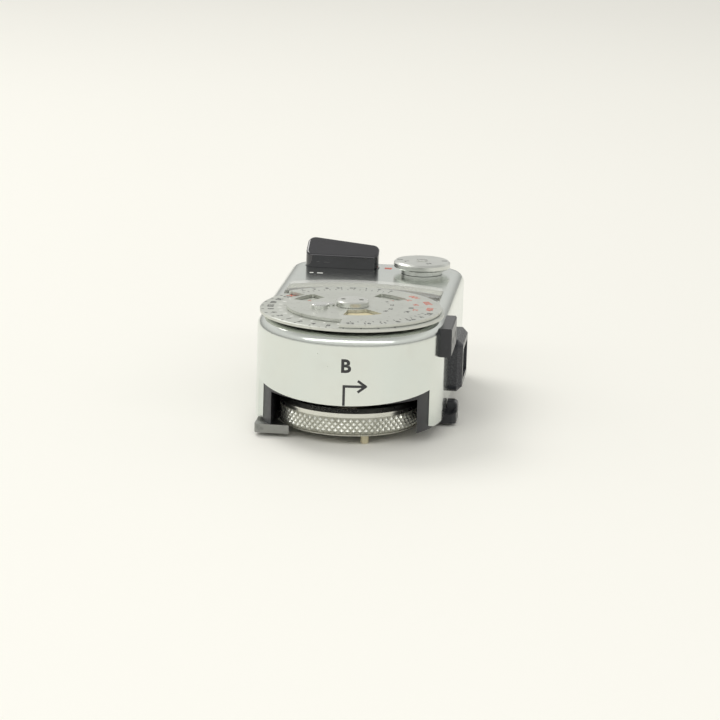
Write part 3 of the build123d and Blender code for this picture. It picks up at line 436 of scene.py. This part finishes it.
def selenium_film(name):
    """Grey-violet selenium under its lacquer, iridescent in clouds."""
    finish = Finish(name, Metallic=0.35, Coat_Weight=0.8, Coat_Roughness=0.08)
    cloud = finish.noise(2.0 * MM, 3.0)
    grain = finish.noise(0.08 * MM, 2.0)
    finish.set("Base Color", finish.mix(cloud, (0.055, 0.050, 0.085, 1.0), (0.13, 0.095, 0.15, 1.0)))
    finish.set("Roughness", grain * 0.1 + 0.30)
    finish.bump(grain, 0.003 * MM, 0.4)
    return finish


def moulded(name, low, high, grain, rough, coat=0.0):
    """Opaque plastic, board or ceramic with a fine mottle."""
    finish = Finish(name, Coat_Weight=coat)
    fine = finish.noise(grain, 4.0)
    cloud = finish.noise(3 * MM, 3.0)
    finish.set("Base Color", finish.mix(fine * 0.5 + cloud * 0.5, shade(low), shade(high)))
    finish.set("Roughness", fine * 0.15 + rough)
    finish.bump(fine, 0.006 * MM, 0.4)
    return finish


def banded_resistor(name):
    """Tan lacquered bodies with colour bands across them."""
    finish = Finish(name, Coat_Weight=0.6)
    x, _, _ = finish.axes()
    fine = finish.noise(0.15 * MM, 3.0)
    body = finish.mix(fine, (0.46, 0.33, 0.20, 1.0), (0.60, 0.46, 0.30, 1.0))
    step = (x - 6.9 * MM).folded(0.28 * MM)
    finish.set("Base Color", finish.mix(step < 0.07 * MM, body, (0.30, 0.04, 0.03, 1.0)))
    finish.set("Roughness", fine * 0.15 + 0.25)
    finish.bump(fine, 0.006 * MM, 0.4)
    return finish


def make_finishes():
    """Every finish by name."""
    tones = bpy.context.scene.meter_finish
    steel = (0.46, 0.46, 0.44)
    brass = (0.70, 0.52, 0.26)
    ring_colour = tuple(value * 1.02 for value in tones.dial)
    made = {
        "case_chrome": satin_chrome("case_chrome", tones.chrome),
        "disc_metal": dial_metal("disc_metal", tones.dial),
        "ring_metal": dial_metal("ring_metal", ring_colour, (0.72, 0.64, 0.42, 1.0)),
        "hub_metal": turned_metal("hub_metal", (0.72, 0.73, 0.69), dial_axis, 0.20),
        "knob_metal": turned_metal("knob_metal", (0.70, 0.715, 0.68), knob_axis, 0.24),
        "rivet_metal": bare_metal("rivet_metal", 1.0, (0.74, 0.75, 0.72), 0.22, 0.12),
        "knurl_chrome": knurled_chrome("knurl_chrome", (0.80, 0.81, 0.75)),
        "wheel_chrome": wheel_chrome("wheel_chrome", (0.70, 0.70, 0.64)),
        "casting_black": black_enamel("casting_black", tones.black),
        "fitting_black": black_enamel("fitting_black", tones.black, 0.26),
        "button_black": polished_black("button_black"),
        "bezel_black": black_enamel("bezel_black", (0.026, 0.027, 0.032), 0.22),
        "sole_steel": brushed_steel("sole_steel", (0.34, 0.345, 0.33), 0.34, 0),
        "foot_steel": brushed_steel("foot_steel", (0.52, 0.52, 0.49), 0.28, 1),
        "turned_steel": turned_metal("turned_steel", steel, dial_axis, 0.26),
        "screw_steel": bare_metal("screw_steel", 1.0, (0.50, 0.50, 0.48), 0.30, 0.15),
        "pin_metal": bare_metal("pin_metal", 0.45, (0.68, 0.62, 0.44), 0.34, 0.15),
        "brass": turned_metal("brass", brass, dial_axis, 0.24),
        "flat_brass": brushed_steel("flat_brass", brass, 0.26, 0),
        "magnet": moulded("magnet", (0.10, 0.10, 0.10), (0.17, 0.165, 0.16), 0.12 * MM, 0.42),
        "soft_iron": turned_metal("soft_iron", (0.36, 0.35, 0.33), needle_axis, 0.34),
        "copper": wound_copper("copper"),
        "aluminium": brushed_steel("aluminium", (0.66, 0.67, 0.68), 0.28, 2),
        "pointer_black": moulded("pointer_black", (0.015, 0.015, 0.016), (0.035, 0.034, 0.033), 0.15 * MM,
                                 0.5),
        "spring_steel": brushed_steel("spring_steel", (0.42, 0.43, 0.46), 0.22, 2),
        "board": moulded("board", (0.20, 0.10, 0.045), (0.32, 0.17, 0.08), 0.25 * MM, 0.40, 0.2),
        "resistor": banded_resistor("resistor"),
        "jewel": moulded("jewel", (0.30, 0.02, 0.05), (0.48, 0.05, 0.09), 0.3 * MM, 0.10, 0.6),
        "window": clear_acrylic("window", (0.88, 0.89, 0.84), 0.06),
        "lens": clear_acrylic("lens", (0.80, 0.83, 0.80), 0.16),
        "card": printed_card("card"),
        "selenium": selenium_film("selenium"),
        "guide": moulded("guide", (0.55, 0.52, 0.43), (0.66, 0.62, 0.52), 0.3 * MM, 0.4),
        "ink": filled_mark("ink", tones.ink),
        "red": filled_mark("red", tones.red),
        "white": filled_mark("white", (0.80, 0.80, 0.77)),
    }
    return {key: finish.material for key, finish in made.items()}


NODE_FINISH = {
    "top_shell": "case_chrome", "speed_ring": "ring_metal", "calculator_disc": "disc_metal",
    "dial_hub": "hub_metal", "range_knob": "knob_metal", "knob_screw": "rivet_metal",
    "setting_peg": "rivet_metal", "stop_rivet": "rivet_metal", "coupling_wheel": "wheel_chrome",
    "base_frame": "casting_black", "side_lug": "fitting_black", "socket_block": "fitting_black",
    "cell_bezel": "bezel_black", "reading_button": "button_black", "sole_plate": "sole_steel",
    "accessory_foot": "foot_steel", "spindle": "turned_steel", "lift_sleeve": "turned_steel",
    "wheel_screw": "screw_steel", "case_screws": "screw_steel", "foot_screws": "screw_steel",
    "sole_screws": "screw_steel", "lug_pins": "screw_steel", "inside_screws": "screw_steel",
    "coupling_pin": "pin_metal", "lower_bush": "brass", "upper_bush": "brass", "knob_bush": "brass",
    "knob_shaft": "brass", "dial_bridge": "flat_brass", "clock_bridge": "flat_brass",
    "movement_base": "flat_brass", "movement_posts": "brass", "scale_posts": "brass", "wiper": "flat_brass",
    "cell_contact": "flat_brass", "socket_contacts": "flat_brass", "zero_screw": "brass",
    "zero_arm": "flat_brass", "button_stem": "brass", "core_holder": "flat_brass",
    "needle_clamp": "spring_steel", "lift_spring": "spring_steel", "button_spring": "spring_steel",
    "hairspring": "spring_steel", "pivot_staff": "spring_steel", "core_magnet": "magnet",
    "yoke_ring": "soft_iron", "coil_winding": "copper", "coil_former": "aluminium",
    "pointer": "pointer_black", "resistor_board": "board", "resistors": "resistor", "jewels": "jewel",
    "window_pane": "window", "cell_lens": "lens", "scale_plate": "card", "selenium_cell": "selenium",
    "button_guide": "guide", "cell_holder": "board",
}


def edit(obj):
    """Opens one object alone in edit mode, with nothing selected in it."""
    alone(obj)
    bpy.ops.object.mode_set(mode="EDIT")
    bpy.ops.mesh.select_all(action="DESELECT")


def alone(obj):
    """Selects one object and nothing else."""
    bpy.ops.object.select_all(action="DESELECT")
    obj.select_set(True)
    bpy.context.view_layer.objects.active = obj


def leave():
    bpy.ops.object.mode_set(mode="OBJECT")


def settle(obj):
    """Puts the object's place, turn and scale into its mesh."""
    alone(obj)
    bpy.ops.object.transform_apply(location=True, rotation=True, scale=True)
    return obj


def modify(obj, kind, **settings):
    """Adds a modifier and applies it."""
    alone(obj)
    modifier = obj.modifiers.new(kind.lower(), kind)
    for key, value in settings.items():
        setattr(modifier, key, value)
    bpy.ops.object.modifier_apply(modifier=modifier.name)


def joined(objects, name):
    """Joins pieces of one finish into one object."""
    bpy.ops.object.select_all(action="DESELECT")
    for obj in objects:
        obj.select_set(True)
    bpy.context.view_layer.objects.active = objects[0]
    if len(objects) > 1:
        bpy.ops.object.join()
    obj = bpy.context.view_layer.objects.active
    obj.name = name
    obj.data.name = name
    return settle(obj)


def finished(obj, body, finish):
    """Gives a piece its finish and the body it rides on."""
    obj.data.materials.clear()
    obj.data.materials.append(bpy.data.materials[finish])
    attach(obj, body)
    return obj


def thickened(obj, depth=INK):
    """Gives a flat mark its thickness, outwards."""
    modify(obj, "SOLIDIFY", thickness=depth, offset=1.0)
    return obj


def stroke(start, end, width, z):
    """Flat line between two points of a level plane."""
    start = Vector(start)
    end = Vector(end)
    run = end - start
    middle = (start + end) / 2
    bpy.ops.object.select_all(action="DESELECT")
    bpy.ops.mesh.primitive_plane_add(size=1.0, location=(middle.x, middle.y, z))
    obj = bpy.context.object
    obj.scale = (run.length, width, 1.0)
    obj.rotation_euler = (0.0, 0.0, run.to_2d().angle_signed(Vector((1.0, 0.0))))
    return thickened(settle(obj))


def figure(text, height, place, turn, bold=0.0):
    """Flat lettering as a mesh, centred on a place of a level plane."""
    bpy.ops.object.select_all(action="DESELECT")
    bpy.ops.object.text_add(location=(0.0, 0.0, 0.0))
    obj = bpy.context.object
    obj.data.body = text
    obj.data.align_x = "CENTER"
    obj.data.align_y = "CENTER"
    obj.data.resolution_u = 3
    obj.data.size = 1.0
    obj.data.offset = bold
    alone(obj)
    bpy.ops.object.convert(target="MESH")
    obj = bpy.context.object
    obj.location = place
    obj.rotation_euler = (0.0, 0.0, turn)
    obj.scale = (height / 0.72, height / 0.72, 1.0)
    return thickened(settle(obj))


def round_figures(texts, centre, radius, angles, height, z, bold=0.012):
    """Figures round an axis, their feet outwards."""
    made = []
    for text, angle in zip(texts, angles):
        place = (centre.x + radius * cos(radians(angle)), centre.y + radius * sin(radians(angle)), z)
        made.append(figure(text, height, place, radians(angle + 90), bold))
    return made


def round_ticks(centre, inner, outer, angles, width, z):
    """Radial ticks round an axis, one tick copied and turned."""
    made = []
    first = stroke((centre.x + inner, centre.y), (centre.x + outer, centre.y), width, z)
    for angle in angles:
        copy = first.copy()
        copy.data = first.data.copy()
        bpy.context.collection.objects.link(copy)
        turn = Matrix.Rotation(radians(angle), 4, "Z")
        axis = Vector((centre.x, centre.y, 0.0))
        copy.data.transform(Matrix.Translation(axis) @ turn @ Matrix.Translation(-axis))
        made.append(copy)
    bpy.data.objects.remove(first)
    return made


class LIGHTMETER_OT_stage(bpy.types.Operator):
    """Adds the floor, the lights and the camera"""

    bl_idname = "lightmeter.stage"
    bl_label = "Stage"

    def execute(self, context):
        settings = context.scene.meter_stage
        self.camera(context, settings)
        self.floor(settings)
        self.lamp("key_light", (-0.34, 0.26, 0.60), (0.36, 0.36), 1.7, (1.0, 0.985, 0.95))
        self.lamp("front_light", (0.02, -0.50, 0.46), (1.50, 0.16), 1.7, (1.0, 0.995, 0.98))
        self.sky(context)
        context.scene.view_settings.view_transform = "Standard"
        return {"FINISHED"}

    def camera(self, context, settings):
        bpy.ops.object.select_all(action="DESELECT")
        bpy.ops.object.camera_add(location=settings.eye)
        camera = context.object
        camera.name = "camera"
        turn = Matrix.Rotation(settings.heading, 4, "Z") @ Matrix.Rotation(pi / 2 - settings.pitch, 4, "X")
        camera.rotation_euler = (turn @ Matrix.Rotation(settings.roll, 4, "Z")).to_euler()
        camera.data.lens = settings.focal
        camera.data.sensor_width = 36.0
        camera.data.clip_start = 0.01
        context.scene.camera = camera

    def floor(self, settings):
        bpy.ops.object.select_all(action="DESELECT")
        bpy.ops.mesh.primitive_plane_add(size=8.0)
        floor = bpy.context.object
        floor.name = "floor"
        finish = Finish("floor_paper", Roughness=0.6, Specular_IOR_Level=0.2)
        cloud = finish.noise(0.25, 2.0)
        colour = finish.mix(cloud, shade(settings.floor, 0.985), shade(settings.floor, 1.015))
        finish.set("Base Color", colour)
        floor.data.materials.append(finish.material)

    def lamp(self, name, place, size, power, colour):
        bpy.ops.object.select_all(action="DESELECT")
        bpy.ops.object.light_add(type="AREA", location=place)
        lamp = bpy.context.object
        lamp.name = name
        lamp.data.shape = "RECTANGLE"
        lamp.data.size, lamp.data.size_y = size
        lamp.data.energy = power
        lamp.data.color = colour
        aim = Vector((0.0, -0.015, 0.01)) - Vector(place)
        lamp.rotation_euler = aim.to_track_quat("-Z", "Y").to_euler()

    def sky(self, context):
        world = bpy.data.worlds.new("studio")
        context.scene.world = world
        world.use_nodes = True
        nodes = world.node_tree.nodes
        links = world.node_tree.links
        coord = nodes.new("ShaderNodeTexCoord")
        split = nodes.new("ShaderNodeSeparateXYZ")
        ramp = nodes.new("ShaderNodeValToRGB")
        stops = ((0.0, 0.30), (0.09, 0.46), (0.22, 0.74), (0.45, 0.84), (0.72, 0.58), (1.0, 0.55))
        while len(ramp.color_ramp.elements) < len(stops):
            ramp.color_ramp.elements.new(1.0)
        for element, (position, level) in zip(ramp.color_ramp.elements, stops):
            element.position = position
            element.color = (level, level * 0.995, level * 0.96, 1.0)
        links.new(coord.outputs["Generated"], split.inputs[0])
        links.new(split.outputs["Z"], ramp.inputs[0])
        links.new(ramp.outputs[0], nodes["Background"].inputs[0])
        nodes["Background"].inputs[1].default_value = 1.0


class LIGHTMETER_OT_finishes(bpy.types.Operator):
    """Gives every frame part its finish"""

    bl_idname = "lightmeter.finishes"
    bl_label = "Finishes"

    def execute(self, context):
        materials = make_finishes()
        missing = set(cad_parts) ^ set(NODE_FINISH)
        if missing:
            raise RuntimeError("No finish for " + ", ".join(sorted(missing)))
        for name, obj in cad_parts.items():
            for slot in obj.material_slots:
                slot.material = materials[NODE_FINISH[name]]
        return {"FINISHED"}


class LIGHTMETER_OT_knurl(bpy.types.Operator):
    """Adds the diamond knurling of the coupling wheel"""

    bl_idname = "lightmeter.knurl"
    bl_label = "Wheel knurling"

    def execute(self, context):
        settings = context.scene.meter_knurl
        step = settings.height / settings.rows
        place = (dial_axis.x, dial_axis.y, settings.bottom)
        bpy.ops.object.select_all(action="DESELECT")
        bpy.ops.mesh.primitive_circle_add(vertices=2 * settings.teeth, radius=settings.low_radius,
                                          location=place)
        knurl = context.object
        edit(knurl)
        bpy.ops.mesh.select_all(action="SELECT")
        for row in range(settings.rows):
            bpy.ops.mesh.extrude_region_move(TRANSFORM_OT_translate={"value": (0.0, 0.0, step)})
        bpy.ops.mesh.select_all(action="DESELECT")
        mesh = bmesh.from_edit_mesh(knurl.data)
        for vert in mesh.verts:
            row = round(vert.co.z / step)
            turn = Vector((vert.co.x, vert.co.y)).angle_signed(Vector((1.0, 0.0))) / pi * settings.teeth
            vert.select = 0 < row < settings.rows and (row + round(turn)) % 2 == 0
        mesh.select_flush_mode()
        bmesh.update_edit_mesh(knurl.data)
        grow = settings.high_radius / settings.low_radius
        bpy.ops.transform.resize(value=(grow, grow, 1.0), center_override=place)
        bpy.ops.mesh.select_all(action="SELECT")
        bpy.ops.mesh.quads_convert_to_tris(quad_method="SHORTEST_DIAGONAL")
        bpy.ops.mesh.normals_make_consistent(inside=False)
        leave()
        knurl.name = "wheel_knurl"
        finished(settle(knurl), "dial", "knurl_chrome")
        return {"FINISHED"}


class LIGHTMETER_OT_ring_figures(bpy.types.Operator):
    """Adds the shutter speeds on the speed ring"""

    bl_idname = "lightmeter.ring_figures"
    bl_label = "Speed ring figures"

    def execute(self, context):
        height = context.scene.meter_figures.height
        z = ring_high[2]
        speeds = ("15", "30", "60", "120", "8", "4", "2", "1", "2", "4", "8", "15", "30", "60", "B")
        angles = [150 + 11.0 * step for step in range(len(speeds))]
        black = round_figures(speeds, dial_axis, 12.2 * MM, angles, height * 0.9, z)
        rim = ring_high[0] - dial_axis.x
        black += round_ticks(dial_axis, rim - 0.55 * MM, rim - 0.15 * MM, angles, 0.22 * MM, z)
        finished(joined(black, "ring_speeds"), "dial", "ink")
        shown = ("25", "60", "100")
        places = ((7.8, 151.5), (8.55, 54.0), (5.2, 291.0))
        red = round_figures(("X",), dial_axis, 12.3 * MM, (145.5,), height, z, 0.03)
        for text, (radius, angle) in zip(shown, places):
            red += round_figures((text,), dial_axis, radius * MM, (angle,), height * 0.8, z)
        finished(joined(red, "ring_readings"), "dial", "red")
        white = round_ticks(dial_axis, 10.5 * MM, 11.1 * MM, [155.5 + 11.0 * step for step in range(14)],
                            0.3 * MM, z)
        finished(joined(white, "ring_dashes"), "dial", "white")
        return {"FINISHED"}


class LIGHTMETER_OT_disc_figures(bpy.types.Operator):
    """Adds the apertures and film speeds on the calculator disc"""

    bl_idname = "lightmeter.disc_figures"
    bl_label = "Disc figures"

    def execute(self, context):
        figures = context.scene.meter_figures
        z = disc_high[2]
        centre = dial_axis
        stops = ("22", "16", "11", "8", "5.6", "4", "2.8")
        stop_angles = [275 + 11.5 * step for step in range(len(stops))]
        black = round_figures(stops, centre, 12.2 * MM, stop_angles, figures.height * 0.85, z)
        back = ("2", "4", "8", "15", "30", "1", "2", "4")
        back_angles = [134 - 9.5 * step for step in range(len(back))]
        black += round_figures(back, centre, 12.3 * MM, back_angles, figures.small_height, z)
        inner = ("6", "12", "25", "50")
        black += round_figures(inner, centre, 6.0 * MM, (37, 14, -12, -28), figures.small_height * 0.8, z)
        black += round_figures(("18", "24"), centre, 8.8 * MM, (0, -17), figures.small_height, z)
        ticks = [275 + 5.75 * step for step in range(13)] + [138 - 4.75 * step for step in range(16)]
        black += round_ticks(centre, 10.9 * MM, 11.35 * MM, ticks, 0.12 * MM, z)
        finished(joined(black, "disc_apertures"), "calculator", "ink")
        outer_red = round_figures(("100", "200", "400"), centre, 11.6 * MM, (42, 20, -1), figures.height, z)
        inner_red = round_figures(("21", "24", "27"), centre, 9.6 * MM, (35, 15, -6),
                                  figures.small_height, z)
        finished(joined(outer_red + inner_red, "disc_film_speeds"), "calculator", "red")
        return {"FINISHED"}


class LIGHTMETER_OT_skirt_index(bpy.types.Operator):
    """Adds the letter and the arrow on the skirt"""

    bl_idname = "lightmeter.skirt_index"
    bl_label = "Skirt index"

    def execute(self, context):
        figures = context.scene.meter_figures
        line = figures.line
        low = 7.05 * MM
        bend = 9.95 * MM
        stem_x = 0.62 * MM
        tip_x = 3.75 * MM
        parts = [
            figure("B", figures.index_height, (0.80 * MM, 12.85 * MM, 0.0), 0.0, 0.035),
            stroke((stem_x, low), (stem_x, bend + line / 2), line, 0.0),
            stroke((stem_x, bend), (tip_x, bend), line, 0.0),
            stroke((tip_x - 1.15 * MM, bend + 0.85 * MM), (tip_x + 0.1 * MM, bend - 0.08 * MM), line, 0.0),
            stroke((tip_x - 1.15 * MM, bend - 0.85 * MM), (tip_x + 0.1 * MM, bend + 0.08 * MM), line, 0.0),
        ]
        mark = joined(parts, "skirt_index")
        edit(mark)
        bpy.ops.mesh.select_all(action="SELECT")
        bpy.ops.mesh.subdivide(number_cuts=3)
        leave()
        for vert in mark.data.vertices:
            self.wrap(vert)
        finished(mark, "case", "ink")
        return {"FINISHED"}

    def wrap(self, vert):
        """Stands a point of the flat mark up on the round skirt."""
        x, height, depth = vert.co
        radius = dial_axis.y - shell_low[1] + depth * 0.8
        vert.co = (x, dial_axis.y - (radius * radius - x * x) ** 0.5, height)


class LIGHTMETER_OT_plate_marks(bpy.types.Operator):
    """Adds the red index by the range knob and the two dashes by the button"""

    bl_idname = "lightmeter.plate_marks"
    bl_label = "Plate marks"

    def execute(self, context):
        y = 6.1 * MM
        red = stroke((1.25 * MM, y), (2.4 * MM, y), 1.1 * MM, plate_z)
        red.name = "range_index"
        finished(red, "case", "red")
        near = button_low[1] - 4.0 * MM
        dashes = [
            stroke((-10.1 * MM, near), (-9.5 * MM, near), 0.55 * MM, plate_z),
            stroke((-8.9 * MM, near), (-8.0 * MM, near), 0.55 * MM, plate_z),
        ]
        finished(joined(dashes, "button_dashes"), "case", "white")
        return {"FINISHED"}


class LIGHTMETER_OT_knob_marks(bpy.types.Operator):
    """Adds the range knob's ticks and letters"""

    bl_idname = "lightmeter.knob_marks"
    bl_label = "Knob marks"

    def execute(self, context):
        z = knob_high[2]
        black = round_ticks(knob_axis, 3.1 * MM, 4.0 * MM, (178, 8), 0.28 * MM, z)
        finished(joined(black, "knob_ticks"), "range_selector", "ink")
        letters = round_figures(("L", "H"), knob_axis, 2.6 * MM, (205, 300), 0.8 * MM, z)
        finished(joined(letters, "knob_letters"), "range_selector", "ink")
        return {"FINISHED"}


class LIGHTMETER_OT_lens_domes(bpy.types.Operator):
    """Adds the honeycomb of domes on the cell's lens"""

    bl_idname = "lightmeter.lens_domes"
    bl_label = "Lens domes"

    def execute(self, context):
        settings = context.scene.meter_lens
        pitch = settings.pitch
        radius = pitch * 0.56
        centre = (Vector(lens_low) + Vector(lens_high)) / 2
        bpy.ops.object.select_all(action="DESELECT")
        bpy.ops.mesh.primitive_uv_sphere_add(segments=12, ring_count=8, radius=radius)
        dome = context.object
        edit(dome)
        bpy.ops.mesh.select_all(action="SELECT")
        bpy.ops.transform.resize(value=(1.0, 1.0, settings.rise / radius), center_override=(0, 0, 0))
        bpy.ops.mesh.select_all(action="SELECT")
        bpy.ops.mesh.bisect(plane_co=(0, 0, 0.02 * MM), plane_no=(0, 0, 1), clear_inner=True)
        leave()
        bpy.ops.object.shade_smooth()
        dome.rotation_euler = (0.0, pi / 2, 0.0)
        settle(dome)
        domes = []
        rows = 4
        for row in range(rows):
            across = 6 if row % 2 else 7
            for column in range(across):
                copy = dome.copy()
                copy.data = dome.data.copy()
                context.collection.objects.link(copy)
                y = centre.y + (column - (across - 1) / 2) * pitch
                z = centre.z + (row - (rows - 1) / 2) * pitch * 0.95
                copy.location = (lens_high[0] - 0.02 * MM, y, z)
                domes.append(copy)
        bpy.data.objects.remove(dome)
        finished(joined(domes, "lens_domes"), "case", "lens")
        return {"FINISHED"}


class LIGHTMETER_OT_scale_marks(bpy.types.Operator):
    """Adds the needle scale's ticks and figures under the window"""

    bl_idname = "lightmeter.scale_marks"
    bl_label = "Needle scale"

    def execute(self, context):
        z = card_high[2]
        angles = [-90 + step for step in range(-33, 34, 11)]
        small = [-90 + step for step in range(-33, 34, 3)]
        marks = round_ticks(needle_axis, 9.6 * MM, 11.0 * MM, angles, 0.16 * MM, z)
        marks += round_ticks(needle_axis, 10.2 * MM, 11.0 * MM, small, 0.08 * MM, z)
        texts = [str(value) for value in range(2, 16, 2)]
        height = context.scene.meter_figures.small_height
        marks += round_figures(texts, needle_axis, 12.0 * MM, angles, height, z)
        finished(joined(marks, "scale_figures"), "case", "ink")
        return {"FINISHED"}


PIECES = (
    LIGHTMETER_OT_stage, LIGHTMETER_OT_finishes, LIGHTMETER_OT_knurl, LIGHTMETER_OT_ring_figures,
    LIGHTMETER_OT_disc_figures, LIGHTMETER_OT_skirt_index, LIGHTMETER_OT_plate_marks,
    LIGHTMETER_OT_knob_marks, LIGHTMETER_OT_lens_domes, LIGHTMETER_OT_scale_marks,
)


class LIGHTMETER_PT_panel(bpy.types.Panel):
    """Lists the meter's pieces"""

    bl_label = "Light meter"
    bl_idname = "LIGHTMETER_PT_panel"
    bl_space_type = "VIEW_3D"
    bl_region_type = "UI"
    bl_category = "Light meter"

    def draw(self, context):
        for piece in PIECES:
            self.layout.operator(piece.bl_idname)
        for name in GROUPS:
            group = getattr(context.scene, name)
            box = self.layout.box()
            for field in group.bl_rna.properties:
                if field.identifier not in {"rna_type", "name"}:
                    box.prop(group, field.identifier)


GROUPS = {
    "meter_stage": StageSettings,
    "meter_finish": FinishSettings,
    "meter_knurl": KnurlSettings,
    "meter_figures": FigureSettings,
    "meter_lens": LensSettings,
}


def register():
    for name, group in GROUPS.items():
        bpy.utils.register_class(group)
        setattr(bpy.types.Scene, name, PointerProperty(type=group))
    for piece in PIECES:
        bpy.utils.register_class(piece)
    bpy.utils.register_class(LIGHTMETER_PT_panel)


def unregister():
    bpy.utils.unregister_class(LIGHTMETER_PT_panel)
    for piece in reversed(PIECES):
        bpy.utils.unregister_class(piece)
    for name, group in GROUPS.items():
        delattr(bpy.types.Scene, name)
        bpy.utils.unregister_class(group)


def main():
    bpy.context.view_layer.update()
    register()
    for piece in PIECES:
        group, name = piece.bl_idname.split(".")
        getattr(getattr(bpy.ops, group), name)()


if __name__ == "__main__":
    main()
